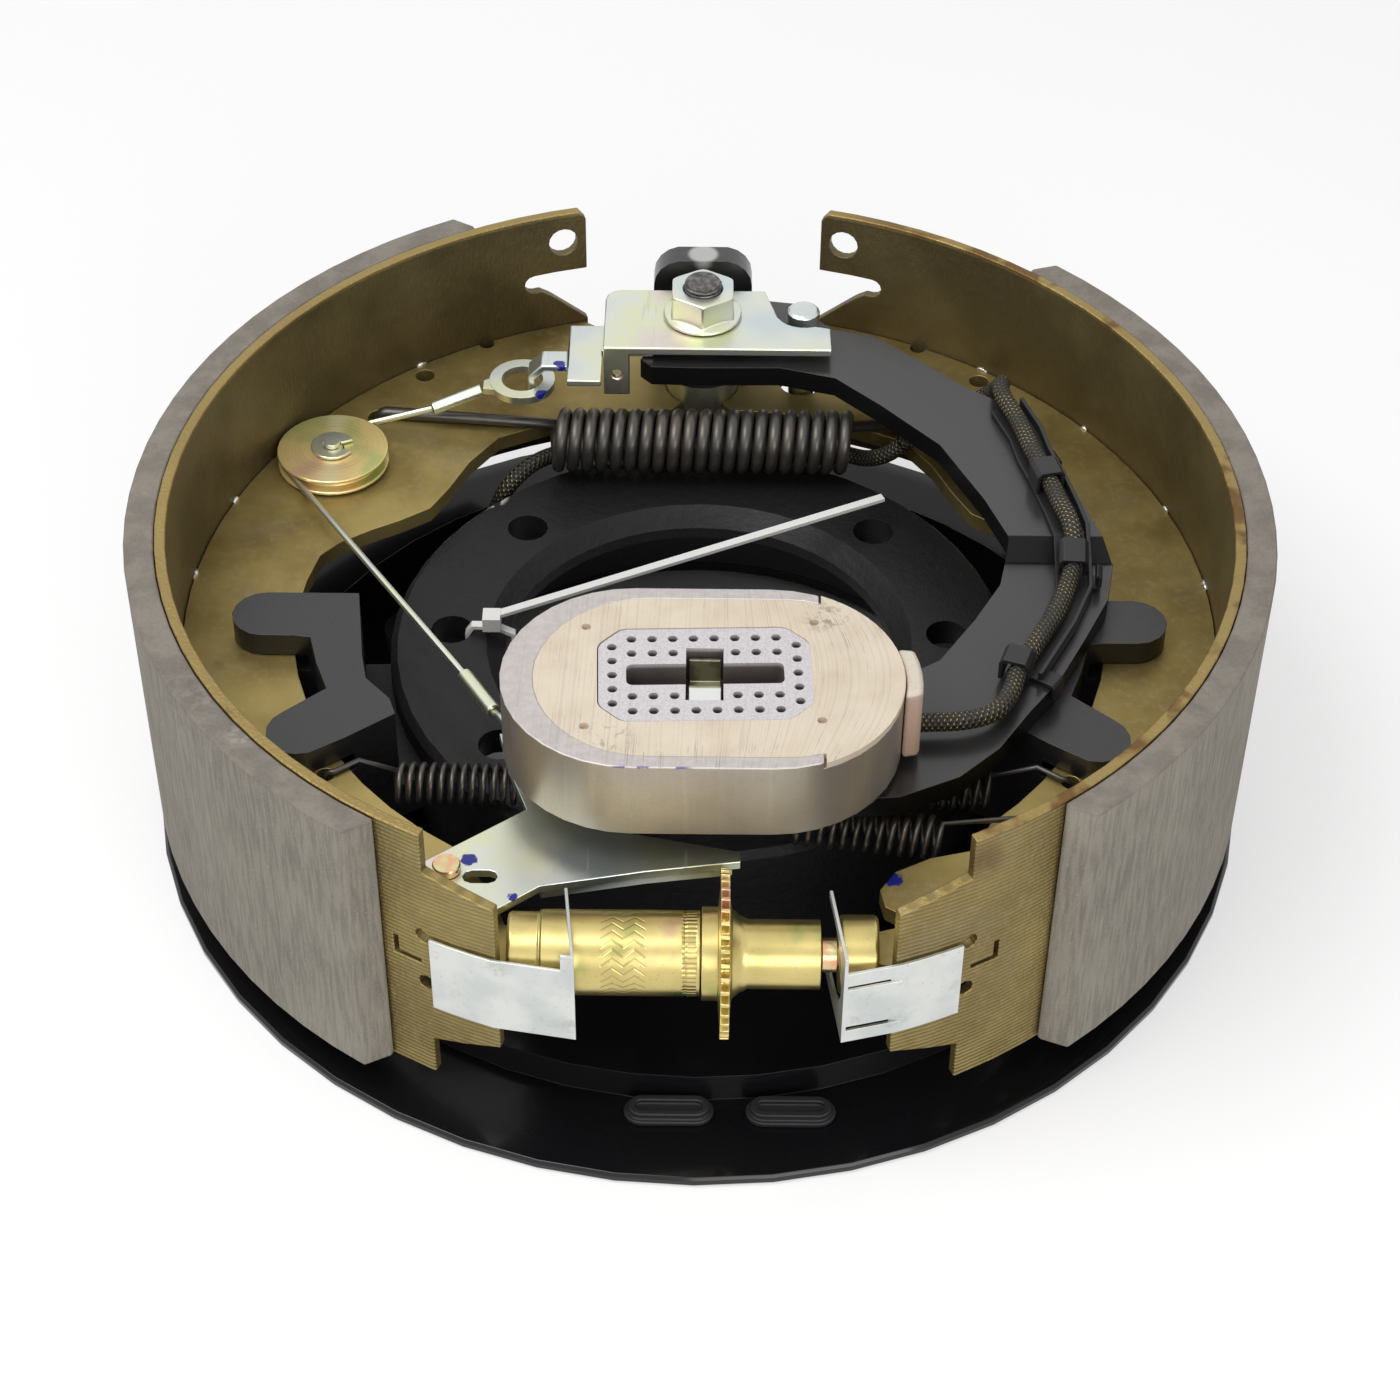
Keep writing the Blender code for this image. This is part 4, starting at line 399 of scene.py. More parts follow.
CHEVRON_HALF = 2.75
CHEVRON_ROWS = 4.6
CHEVRON_SLANT = 320.0
KNURL = (-3.4, 0.1)
KNURL_TEETH = 8.0
BARREL_SEAM = (-38.7, -38.2)
BRAID_YARNS = 7.0
BRAID_PITCH = 11.0
TIE_RUN = (0.911, 0.413, 0.0)
TIE_TOOTH_HALF = 0.55


@made_as("glossy black paint", coat_roughness=0.08, specular_ior_level=0.15)
def black_gloss(made):
    # Painted shade on the reflection: the coat is thin inside the lip, so the plate reflects less there,
    # and full on the lip.
    made.paint("Coat Weight", 0.08 + made.reach((0.0, 0.0, 0.0)).across(*PLATE_LIP) * 0.5)
    film = made.noise(22.0, 2.0)
    made.tone = made.dusted(look("paint"), (0.09, 0.09, 0.088), 0.35)
    rough = 0.13 + film * 0.1 + made.noise(900.0, 2.0) * 0.05
    made.surface(rough, made.noise(140.0, 2.0), 0.05, 0.35)


@made_as("satin black casting", coat_roughness=0.28, specular_ior_level=0.2)
def black_cast(made):
    """The casting, scuffed bare beside the cable, with a pale grey patch on its lug, and less coat low
    down as painted shade on its reflection.
    """
    # Painted shade on the reflection: the coat is thin low down on the flange and full on the raised
    # lobes.
    made.paint("Coat Weight", 0.12 + made.along("Z", *CASTING_TOP) * 0.8)
    grain = made.noise(430.0, 5.0, 0.62)
    broad = made.noise(60.0)
    scuff = made.patch((-63.0, 63.0, 50.0), 7.5, 240.0, 0.42, 0.5)
    scuff = scuff + made.patch((-60.5, 68.0, 49.0), 5.0, 400.0, 0.46, 0.52)
    scuff = scuff.between(0.05, 0.3)
    # A pale grey patch on the lug.
    pale_patch = made.near(CASTING_PALE_PATCH, 7.5).between(0.2, 0.55)
    made.tone = made.dusted(look("casting"), (0.12, 0.12, 0.118), 0.6)
    made.lay(scuff, (0.62, 0.62, 0.60))
    made.lay(pale_patch * 0.8, (0.55, 0.55, 0.53))
    made.paint("Metallic", scuff * 0.9)
    made.surface(0.3 + grain * 0.25 + broad * 0.08, grain * 0.9 + broad * 0.9, 0.45, 0.9)


@made_as("satin black plate", coat_roughness=0.24, specular_ior_level=0.12)
def black_sheet(made):
    """Thick black plate of the arm, smoother than the casting, with painted shade: its side faces and
    the step's slope darker and without coat, its top faces paler and coated.
    """
    top = made.along("Z", *ARM_TOP) + made.along("Z", *ARM_STEP) * made.along("Y", *ARM_STEP_EDGE)
    # Painted shade on the reflection: the coat lies on the top faces only.
    made.paint("Coat Weight", 0.03 + top)
    grain = made.noise(900.0, 4.0)
    broad = made.noise(70.0)
    # Painted shade: the side faces and the step's slope are darker than the top faces.
    made.tone = made.mix(top, (0.005, 0.005, 0.005), (0.024, 0.023, 0.023))
    made.tone = made.dusted(made.tone, (0.14, 0.14, 0.138), 0.6)
    made.surface(0.26 + grain * 0.16 + broad * 0.08, grain * 0.6 + broad, 0.14, 0.6)


@made_as("weld metal", metallic=0.85)
def weld_metal(made):
    """Small bare weld beads, patchily scorched."""
    grain = made.noise(700.0)
    made.tone = made.mix(grain.between(0.4, 0.6), (0.30, 0.25, 0.19), (0.80, 0.79, 0.76))
    made.surface(0.26 + grain * 0.2, grain, 0.15, 0.7)


@made_as("olive zinc plate")
def olive_zinc(made):
    """Clouded plating of the shoes, scorched where they were welded and dabbed with dye."""
    broad = made.noise(22.0, 3.0, 0.6)
    fine = made.noise(420.0, 4.0, 0.6)
    grain = made.noise(900.0, 3.0, 0.6, made.stretched(1.0, 1.0, 0.22))
    made.tone = made.mix(broad.between(0.34, 0.66), look("olive_dark"), look("olive"))
    made.lay(made.cloud(48.0, 0.52, 0.72) * 0.5, (0.27, 0.23, 0.125))
    made.lay(fine.between(0.45, 0.75) * 0.3, (0.45, 0.38, 0.22))
    edge = made.along("Z", *SHOE_TOP)
    made.lay(edge * 0.75, (0.32, 0.23, 0.085))
    scorched = edge * made.along("X", *SHOE_SCORCHED) * made.cloud(75.0, 0.47, 0.6)
    made.lay(scorched * 0.8, (0.13, 0.06, 0.02))
    scorch = made.patch((68.0, -128.0, 92.0), 11.0, 120.0, 0.35, 0.6)
    made.lay(scorch * 0.7, (0.13, 0.07, 0.03))
    made.lay(made.dabs(380.0, 0.2, 0.32, ((50.0, -104.0, 60.0), 5.0)), look("dye"))
    stain = made.cloud(55.0, 0.60, 0.8, 4.0, 0.7)
    made.lay(stain * 0.5, (0.13, 0.095, 0.045))
    made.paint("Metallic", 0.86 - stain * 0.3)
    made.surface(0.36 + fine * 0.14 + broad * 0.12, fine * 0.7 + grain * 0.6, 0.07, 0.6)


@made_as("ribbed olive zinc")
def ribbed_zinc(made):
    """The rim's plate: rolled with fine dotted ribs that show at its bare front ends, with painted shade
    in their grooves, and painted shade behind.
    """
    olive_zinc(made)
    half = RIB_HALF * MM
    front = made.along("Y", *RIM_FRONT)
    ribs = made.axis("Z").folded(half).between(half * 0.16, half * 0.8)
    ribs = 1.0 - (1.0 - ribs) * (0.08 + front * 0.92)
    dots = made.noise(900.0, 2.0, 0.5, made.stretched(1.0, 1.0, 0.4)).between(0.35, 0.6)
    made.bump(ribs * (0.7 + dots * 0.7), 0.14, 0.8)
    # Painted shade in the grooves between the ribs.
    made.lay((1.0 - ribs) * 0.4, (0.13, 0.105, 0.055))
    # Painted shade: the rim is darker below its top edge, away from its front ends, and less metallic
    # there.
    dark = made.mix(made.cloud(26.0, 0.35, 0.65), (0.055, 0.042, 0.02), (0.12, 0.095, 0.045))
    shade = made.along("Z", *RIM_BELOW) * (1.0 - front) * 0.85
    made.lay(shade, dark)
    made.paint("Base Color", made.tone)
    made.paint("Metallic", 0.85 - shade * 0.35)


@made_as("friction lining")
def lining(made):
    """Ground friction material, brown on its top edge, scraped and chipped at the left."""
    grit = made.noise(1700.0, 4.0, 0.7)
    crumbs = made.cells(1500.0)
    streaks = made.noise(900.0, 3.0, 0.6, made.stretched(1.0, 1.0, 0.09))
    dark = tuple(value * 0.55 for value in look("lining"))
    pale = tuple(min(1.0, value * 1.5) for value in look("lining"))
    made.tone = made.mix(0.2 + streaks.between(0.36, 0.62) * 0.6, dark, look("lining"))
    made.lay(grit.between(0.54, 0.74) * 0.7, pale)
    made.lay(crumbs.between(0.26, 0.05) * 0.45, dark)
    made.lay(made.cloud(24.0, 0.4, 0.7) * 0.2, pale)
    smear = made.cloud(90.0, 0.38, 0.62, 3.0, 0.6)
    edge = made.mix(smear, (0.16, 0.14, 0.12), (0.235, 0.21, 0.18))
    made.lay(made.along("Z", *LINING_TOP) * 0.75, edge)
    scrape = made.patch((-123.0, -78.0, 97.0), 17.0, 260.0, 0.46, 0.56, 4.0, 0.7)
    made.lay(scrape * 0.8, (0.13, 0.115, 0.105))
    chip = made.patch((-113.0, -96.0, 97.5), 6.0, 420.0, 0.44, 0.5, 4.0, 0.7)
    made.lay(chip, (0.46, 0.42, 0.37))
    relief = grit * 0.9 + streaks * 0.6 - chip * 0.8 - crumbs.between(0.2, 0.0) * 0.5
    made.surface(0.8 + grit * 0.14, relief, 0.26, 0.8)


@made_as("bright zinc plate")
def bright_zinc(made):
    """Iridescent plating, lightly scratched, with dabs of inspection dye."""
    broad = made.noise(34.0, 2.0)
    fine = made.noise(700.0, 4.0, 0.6)
    made.tone = made.ramp(
        broad,
        (0.34, (0.60, 0.66, 0.67)),
        (0.45, look("zinc")),
        (0.56, (0.72, 0.74, 0.53)),
        (0.66, (0.72, 0.65, 0.60)),
    )
    scratch = made.noise(300.0, 3.0, 0.6, made.stretched(1.0, 0.08, 0.6)).between(0.62, 0.7)
    made.lay(scratch * 0.25, (0.40, 0.41, 0.40))
    dye = made.dabs(
        420.0, 0.2, 0.3,
        ((-57.6, -104.8, 66.5), 4.2),
        ((-46.0, -117.5, 66.5), 2.6),
        ((-42.2, 84.4, 82.8), 4.0),
        ((-47.5, 80.0, 75.0), 3.8),
        ((4.6, 109.0, 95.5), 3.0),
    )
    made.paint("Metallic", 0.95 - dye * 0.9)
    rough = 0.2 + fine * 0.12 + broad * 0.14 + scratch * 0.1
    made.lay(dye, look("dye"))
    made.surface(rough, fine * 0.5 + broad * 1.6, 0.05, 0.5)


@made_as("dull zinc plate", metallic=0.8)
def dull_zinc(made):
    """Duller, bluish plating of the clips, with smudges."""
    broad = made.noise(60.0)
    fine = made.noise(800.0, 4.0, 0.65)
    made.tone = made.mix(broad.between(0.35, 0.65), (0.60, 0.63, 0.62), (0.74, 0.75, 0.72))
    smudge = made.cloud(110.0, 0.56, 0.72, 4.0, 0.7)
    made.lay(smudge * 0.55, (0.47, 0.49, 0.44))
    made.lay(fine.between(0.6, 0.72) * 0.4, (0.38, 0.38, 0.36))
    made.surface(0.3 + fine * 0.15 + smudge * 0.12, fine * 0.7 + broad, 0.06, 0.6)


@made_as("threaded stud")
def threaded_steel(made):
    """Zinc stud whose threaded end is dark with oil."""
    bright_zinc(made)
    half = THREAD_HALF * MM
    thread = made.axis("Z").folded(half) / half
    above = made.along("Z", *THREAD_BOTTOM)
    grain = made.noise(500.0)
    dark = made.mix(grain.between(0.4, 0.65), (0.055, 0.05, 0.048), (0.19, 0.175, 0.165))
    made.lay(above * 0.93, dark)
    made.surface(0.32 + grain * 0.2, thread * above + grain * 0.15, 0.5, 0.8)


@made_as("clip plate", metallic=0.9)
def clip_spring(made):
    """The magnet's clip: olive where it rises at the back, bright at the front."""
    fine = made.noise(900.0)
    olive = made.mix(made.cloud(160.0, 0.4, 0.6, 2.0), (0.20, 0.19, 0.13), (0.34, 0.32, 0.23))
    made.tone = made.mix(made.along("Y", *CLIP_BACK), (0.78, 0.79, 0.76), olive)
    made.surface(0.24 + fine * 0.12, fine, 0.04, 0.5)


@made_as("yellow zinc plate", metallic=0.97)
def yellow_zinc(made):
    broad = made.noise(75.0, 3.0, 0.5)
    fine = made.noise(900.0)
    made.tone = made.ramp(
        broad,
        (0.30, (0.36, 0.40, 0.13)),
        (0.40, look("gold")),
        (0.60, (0.66, 0.54, 0.22)),
        (0.70, (0.58, 0.37, 0.24)),
    )
    made.lay(fine.between(0.62, 0.72) * 0.3, (0.24, 0.20, 0.08))
    made.surface(0.22 + fine * 0.06 + broad * 0.1, broad * 1.4 + fine * 0.4, 0.04, 0.4)


@made_as("turned yellow zinc", metallic=0.6)
def turned_zinc(made):
    """The pulley's faces, turned in fine rings, with pale cones towards front and back painted in as the
    rings' highlight.
    """
    x, y = PULLEY_SPOT
    flat = made.vector("MULTIPLY", made.place, (1.0, 1.0, 0.0))
    reach = made.vector("DISTANCE", flat, mm(x, y, 0.0), "Value")
    half = PULLEY_RING_HALF * MM
    rings = reach.folded(half) / half
    uneven = made.lines(reach, 1400.0, 2.0)
    made.tone = made.ramp(
        made.noise(45.0, 3.0, 0.5),
        (0.36, (0.60, 0.60, 0.23)),
        (0.46, (0.86, 0.70, 0.29)),
        (0.58, (0.90, 0.68, 0.31)),
        (0.68, (0.76, 0.50, 0.31)),
    )
    # Painted highlight: pale cones along the line from the pulley's middle towards front and back.
    highlight_aside = abs(made.axis("X") - x * MM) / reach
    made.lay(highlight_aside.between(0.4, 0.02) * 0.6, (0.95, 0.88, 0.56))
    made.lay(uneven.between(0.55, 0.7) * 0.3, (0.45, 0.36, 0.18))
    made.surface(0.24 + uneven * 0.12, rings * 0.6 + uneven, 0.008, 0.5)


@made_as("chevroned yellow zinc", metallic=0.97)
def marked_barrel(made):
    """Yellow zinc with the barrel's pressed chevrons and its knurled band, with painted shade in their
    grooves and in the seam.
    """
    yellow_zinc(made)
    turn = (made.axis("Z") - ADJUSTER_Z * MM).maths("ARCTAN2", made.axis("Y") - ADJUSTER_Y * MM)
    fold = (made.axis("X") - CHEVRONS[0] * MM).folded(CHEVRON_HALF * MM)
    rows = (turn * CHEVRON_ROWS + fold * CHEVRON_SLANT).maths("FRACT")
    chevrons = rows.between(0.34, 0.2) * rows.between(0.0, 0.1) * made.band("X", *CHEVRONS)
    teeth = (turn * KNURL_TEETH).folded(0.5) * 2.0
    band = made.band("X", *KNURL)
    seam = made.band("X", *BARREL_SEAM)
    # Painted shade in the grooves of the chevrons, the knurl's teeth and the seam.
    marks = chevrons * 0.35 + teeth.between(0.5, 0.9) * band * 0.6 + seam * 0.6
    made.lay(marks, (0.20, 0.165, 0.055))
    made.paint("Base Color", made.tone)
    made.bump(1.0 - chevrons * 0.25 - teeth * band * 0.7 - seam, 0.3, 0.8)


@made_as("coppery plate", roughness=0.24, metallic=0.95)
def copper(made):
    made.tone = made.ramp(made.noise(380.0, 2.0), (0.35, look("copper")), (0.62, (0.70, 0.66, 0.36)))
    made.paint("Base Color", made.tone)


@made_as("oiled spring steel", metallic=0.75)
def spring_steel(made):
    fine = made.noise(900.0)
    made.tone = made.mix(made.cloud(60.0, 0.45, 0.7) * 0.4, look("steel"), (0.16, 0.13, 0.10))
    made.surface(0.26 + fine * 0.2, fine, 0.03, 0.5)


@made_as("magnet cup steel")
def magnet_cup(made):
    """Drawn steel cup, ground across its top and heat-tinted on its front rim."""
    across = made.noise(420.0, 3.0, 0.6, made.stretched(1.0, 1.0, 0.05))
    fine = made.noise(1500.0, 3.0, 0.65)
    top = made.along("Z", *CUP_TOP)
    made.tone = made.mix(made.cloud(34.0, 0.35, 0.7), look("cup"), (0.41, 0.375, 0.335))
    made.lay(across.between(0.5, 0.75) * 0.3, (0.62, 0.585, 0.53))
    made.lay(fine.between(0.45, 0.7) * 0.25, (0.34, 0.31, 0.27))
    mottle = made.cloud(500.0, 0.35, 0.65, 3.0, 0.6)
    ground = made.mix(mottle, (0.57, 0.53, 0.515), (0.51, 0.47, 0.455))
    ground = made.mix(saw_marks(made) * 0.45, ground, (0.24, 0.21, 0.20))
    made.lay(top, ground)
    rim = made.along("Z", *CUP_RIM) * made.near((-14.0, -104.8, 99.3), 17.0).between(0.1, 0.35)
    rim = rim * made.cloud(300.0, 0.42, 0.5) * made.along("Y", *CUP_RIM_FRONT)
    made.lay(rim * 0.8, (0.09, 0.06, 0.24))
    made.paint("Metallic", 0.7 - rim * 0.6)
    made.surface(0.3 + fine * 0.14 + top * 0.12, fine * 0.8 + across * 0.4, 0.06, 0.6)


def saw_marks(made):
    """Fine dense marks of the facing cut, front to back, bending round at the right."""
    x = made.axis("X")
    y = made.axis("Y")
    off = (y - FACE_MIDDLE_Y * MM) / (34.0 * MM)
    bent = x + off * off * 12.0 * MM * x.across(0.0, 44.0) - off * 1.2 * MM
    broken = made.noise(210.0, 5.0, 0.7, made.stretched(1.0, 0.35, 1.0)).between(0.47, 0.62)
    rim = y.across(-92.0, -101.0) + x.across(24.0, 40.0) * off.between(-0.2, 0.8)
    sharp = made.lines(bent, 2300.0, 3.0).between(0.5, 0.66)
    faint = made.lines(bent, 1100.0, 4.0).between(0.5, 0.7)
    return sharp * broken * (0.45 + rim * 0.7) + faint * 0.28


@made_as("moulded friction face")
def friction_cream(made):
    """Moulded face with the saw's marks and two rubbed patches."""
    grain = made.noise(1900.0, 3.0, 0.7)
    saw = saw_marks(made)
    top = made.along("Z", *FACE_TOP)
    made.tone = made.mix(made.cloud(60.0, 0.35, 0.7), look("cream"), (0.64, 0.54, 0.415))
    made.lay(grain.between(0.58, 0.8) * 0.35, (0.50, 0.42, 0.33))
    made.lay(saw * 0.55 * top, (0.20, 0.165, 0.13))
    rubbed = made.near((-22.0, -94.0, 99.4), 8.0) + made.near((33.0, -48.0, 99.4), 9.0)
    rubbed = rubbed * made.cloud(330.0, 0.5, 0.6, 4.0, 0.7) * top
    made.lay(rubbed * 0.7, (0.17, 0.14, 0.11))
    made.surface(0.46 + grain * 0.2, grain * 0.4 - saw * top * 0.6, 0.06, 0.6)


@made_as("entry moulding")
def entry_cream(made):
    """Pinkish moulding over the lead's entry, paler towards its top."""
    grain = made.noise(1200.0, 3.0, 0.7)
    made.tone = made.mix(made.along("Z", *ENTRY_TOP), (0.62, 0.44, 0.35), (0.66, 0.60, 0.50))
    made.lay(grain.between(0.5, 0.7) * 0.3, (0.45, 0.35, 0.28))
    made.surface(0.36 + grain * 0.2, grain + made.noise(160.0), 0.15, 0.6)


@made_as("sintered core steel", metallic=0.45)
def core_steel(made):
    grain = made.noise(1500.0, 3.0, 0.7)
    saw = saw_marks(made)
    made.tone = made.mix(grain.between(0.35, 0.75), (0.66, 0.635, 0.65), (0.52, 0.49, 0.50))
    made.lay(saw * 0.3, (0.26, 0.24, 0.24))
    # Painted shade: the core is dark below its face, inside its holes and slot.
    made.lay(made.along("Z", *CORE_SHADE_DEPTH) * 0.85, (0.10, 0.075, 0.055))
    made.surface(0.42 + grain * 0.15, grain * 0.5 - saw * 0.4, 0.06, 0.6)


@made_as("black rubber")
def rubber(made):
    grain = made.noise(1200.0)
    made.tone = made.dusted(look("rubber"), (0.08, 0.08, 0.078), 0.7)
    made.surface(0.48 + grain * 0.2, grain, 0.06, 0.5)


@made_as("black nylon")
def black_plastic(made):
    grain = made.noise(800.0)
    made.tone = made.dusted((0.012, 0.012, 0.013), (0.10, 0.10, 0.10), 0.6)
    made.surface(0.34 + grain * 0.16, grain, 0.05, 0.5)


@made_as("braided sleeve")
def sleeve(made):
    """Dark yarns crossing over and under, with gold ones among them, and painted shade in the gaps
    between them.
    """
    lay = made.node("ShaderNodeUVMap", {"uv_map": "lay"})
    round_it = made.axis("X", lay) * BRAID_YARNS
    along_it = made.axis("Y", lay) * BRAID_YARNS / BRAID_PITCH
    over = (round_it + along_it).maths("FRACT").folded(0.5) * 2.0
    under = (round_it - along_it + 64.0).maths("FRACT").folded(0.5) * 2.0
    relief = over.maths("MAXIMUM", under)
    gold = over.between(0.72, 0.9) * under.between(0.5, 0.75)
    patchy = 0.25 + made.cloud(110.0, 0.4, 0.58, 2.0) * 0.75
    made.tone = made.mix(gold * patchy, look("braid"), look("fleck"))
    # Painted shade in the gaps between the yarns.
    made.lay((1.0 - relief).between(0.35, 0.7), (0.004, 0.004, 0.004))
    made.surface(0.5 + relief * 0.15, relief, 0.35, 0.9)


@made_as("white nylon", subsurface_weight=0.12, subsurface_scale=0.001)
def nylon(made):
    half = TIE_TOOTH_HALF * MM
    teeth = made.vector("DOT_PRODUCT", made.place, TIE_RUN, "Value").folded(half) / half
    made.tone = look("nylon")
    made.surface(0.36 + made.noise(600.0, 2.0) * 0.1, teeth, 0.1, 0.5)


@made_as("floor paper", roughness=0.9, emission_strength=1.0, specular_ior_level=0.1)
def floor_paper(made):
    """White paper that keeps the shadow and merges with the white room; its glow fades out under and
    round the brake as a painted shadow.
    """
    made.paint("Base Color", (0.5, 0.5, 0.5))
    # Painted shadow: the glow fades out from 145 mm to 100 mm round the middle.
    glow = made.seen() * made.reach((0.0, 0.0, 0.0)).across(*FLOOR_SHADE)
    made.paint("Emission Color", made.mix(glow, (0.0, 0.0, 0.0), (FLOOR_GLOW, FLOOR_GLOW, FLOOR_GLOW)))


def show(name, data, finish_name, body, slot, *nodes):
    """Puts a mesh or curve into the scene, on its body if it has one, in place of its solids."""
    data.materials.clear()
    data.materials.append(finish(finish_name))
    piece = bpy.data.objects.new(name, data)
    bpy.context.collection.objects.link(piece)
    if body:
        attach(piece, body)
    if nodes:
        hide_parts(*nodes)
    return piece


def shown_for(node, name, shape, finish_name):
    """Puts a new shape in place of a solid, on its body."""
    return show(name, as_mesh(name, shape), finish_name, NODE_BODY[node], NODE_SLOT[node], node)


def welded(node):
    """A copy of a solid's mesh with its corners joined and its flat faces whole."""
    shape = bmesh.new()
    shape.from_mesh(frame["nodes"][node].data)
    bmesh.ops.remove_doubles(shape, verts=shape.verts, dist=WELD)
    bmesh.ops.dissolve_limit(shape, angle_limit=FLAT, verts=shape.verts, edges=shape.edges)
    return shape


def as_mesh(name, shape):
    mesh = bpy.data.meshes.new(name)
    shape.to_mesh(mesh)
    shape.free()
    for layer in ("custom_normal", "sharp_face"):
        if layer in mesh.attributes:
            mesh.attributes.remove(mesh.attributes[layer])
    mesh.shade_smooth()
    mesh.set_sharp_from_angle(angle=SHARP)
    return mesh


def eased(piece, rounding):
    """Rounds a piece's sharp edges."""
    bevel = piece.modifiers.new("Eased edges", "BEVEL")
    bevel.width = rounding
    bevel.segments = 2
    bevel.limit_method = "ANGLE"
    bevel.angle_limit = SHARP
    normal = piece.modifiers.new("Even shading", "WEIGHTED_NORMAL")
    normal.keep_sharp = True


def dressed(node, finish_name, rounding=None, reshape=None):
    """The solid's own form with a finish and with edges eased by a rounding in millimetres."""
    shape = welded(node)
    if reshape:
        reshape(shape)
    piece = show(
        node + "_body", as_mesh(node, shape), finish_name, NODE_BODY[node], NODE_SLOT[node], node
    )
    eased(piece, sizes().rounding if rounding is None else rounding * MM)


def spread(shape, middle, wider, deeper):
    """Widens a shape a little across its middle, so that it fills the slit round it."""
    space = Matrix.Translation(-mm(*middle))
    bmesh.ops.scale(shape, vec=(wider, deeper, 1.0), space=space, verts=shape.verts)


def rounded(shape, edges, offset):
    """Rounds edges by an offset in millimetres."""
    bmesh.ops.bevel(
        shape, geom=edges, offset=offset * MM, segments=3, profile=0.5, affect="EDGES", material=-1,
        offset_type="OFFSET", clamp_overlap=True,
    )


def rounded_corners(shape, offset, test):
    """Rounds the upright edges whose spot and length, in millimetres, pass the test."""
    chosen = []
    for edge in shape.edges:
        run = edge.verts[1].co - edge.verts[0].co
        if abs(run.z) > UPRIGHT * run.length and test(edge.verts[0].co / MM, run.length / MM):
            chosen.append(edge)
    rounded(shape, chosen, offset)


def frame_at(spot, heading):
    """A frame whose X runs along the heading and whose Y points to its side."""
    heading = heading.normalized()
    side = Vector((0, 0, 1)).cross(heading).normalized()
    turn = Matrix((heading, side, heading.cross(side))).transposed().to_4x4()
    return Matrix.Translation(spot) @ turn


def grown(shape, edges, move):
    """Extrudes edges by a move, and gives the new vertices and edges."""
    parts = bmesh.ops.extrude_edge_only(shape, edges=edges)["geom"]
    verts = [part for part in parts if isinstance(part, bmesh.types.BMVert)]
    bmesh.ops.transform(shape, matrix=move, verts=verts)
    return verts, [part for part in parts if isinstance(part, bmesh.types.BMEdge)]


def swept(shape, frames, section):
    """A strip of sheet whose section of (side, up) runs through frames, in millimetres."""
    ring = [shape.verts.new(frames[0] @ Vector((0.0, side, up))) for side, up in section]
    edges = [shape.edges.new(pair) for pair in zip(ring, ring[1:])]
    for before, here in zip(frames, frames[1:]):
        ring, edges = grown(shape, edges, here @ before.inverted())


def lathe(profile, x, y, count):
    """A closed ring of (radius, height) in millimetres, spun about an upright axis."""
    shape = bmesh.new()
    ring = [shape.verts.new((radius, 0.0, height)) for radius, height in profile]
    pairs = zip(ring, ring[1:] + ring[:1])
    edges = [shape.edges.new(pair) for pair in pairs if pair[0].co.x or pair[1].co.x]
    bmesh.ops.spin(
        shape, geom=ring + edges, cent=(0, 0, 0), axis=(0, 0, 1), angle=FULL_TURN, steps=count,
        use_merge=True,
    )
    bmesh.ops.remove_doubles(shape, verts=shape.verts, dist=WELD / MM)
    shape.transform(Matrix.Scale(MM, 4) @ Matrix.Translation((x, y, 0.0)))
    bmesh.ops.recalc_face_normals(shape, faces=shape.faces)
    return shape


def tube(points, radius, sides):
    """A round cord along points in metres, with a map of its way round and its way along."""
    shape = bmesh.new()
    lay = shape.loops.layers.uv.new("lay")
    way = (points[1] - points[0]).normalized()
    across = way.orthogonal().normalized()
    first = bmesh.ops.create_circle(shape, cap_ends=False, radius=radius, segments=sides)["verts"]
    edges = list({edge for vert in first for edge in vert.link_edges})
    turn = Matrix((across, way.cross(across), way)).transposed().to_4x4()
    bmesh.ops.transform(shape, matrix=Matrix.Translation(points[0]) @ turn, verts=first)
    for before, here, there in zip(points, points[1:], points[2:] + points[-1:]):
        heading = (there - before).normalized()
        bend = way.rotation_difference(heading).to_matrix().to_4x4()
        move = Matrix.Translation(here) @ bend @ Matrix.Translation(-before)
        ring, edges = grown(shape, edges, move)
        way = heading
    for end in (first, ring):
        shape.faces.new(ordered(end))
    bmesh.ops.recalc_face_normals(shape, faces=shape.faces)
    mapped(shape, lay, points, sides)
    return shape


def ordered(ring):
    """The vertices of an end ring, in order round it."""
    path = [ring[0]]
    while len(path) < len(ring):
        for edge in path[-1].link_edges:
            other = edge.other_vert(path[-1])
            if other in ring and other not in path:
                path.append(other)
                break
    return path


def mapped(shape, lay, points, sides):
    """Gives each side face of a tube its place round (0 to 1) and along (in millimetres)."""
    far = [0.0]
    for here, there in zip(points, points[1:]):
        far.append(far[-1] + (there - here).length / MM)
    for face in shape.faces:
        if len(face.verts) == sides:
            continue
        for loop in face.loops:
            ring, spot = divmod(loop.vert.index, sides)
            loop[lay].uv = (spot / sides, far[min(ring, len(far) - 1)])
        turns = [loop[lay].uv.x for loop in face.loops]
        if max(turns) - min(turns) > 0.5:
            for loop in face.loops:
                if loop[lay].uv.x < 0.5:
                    loop[lay].uv.x += 1.0


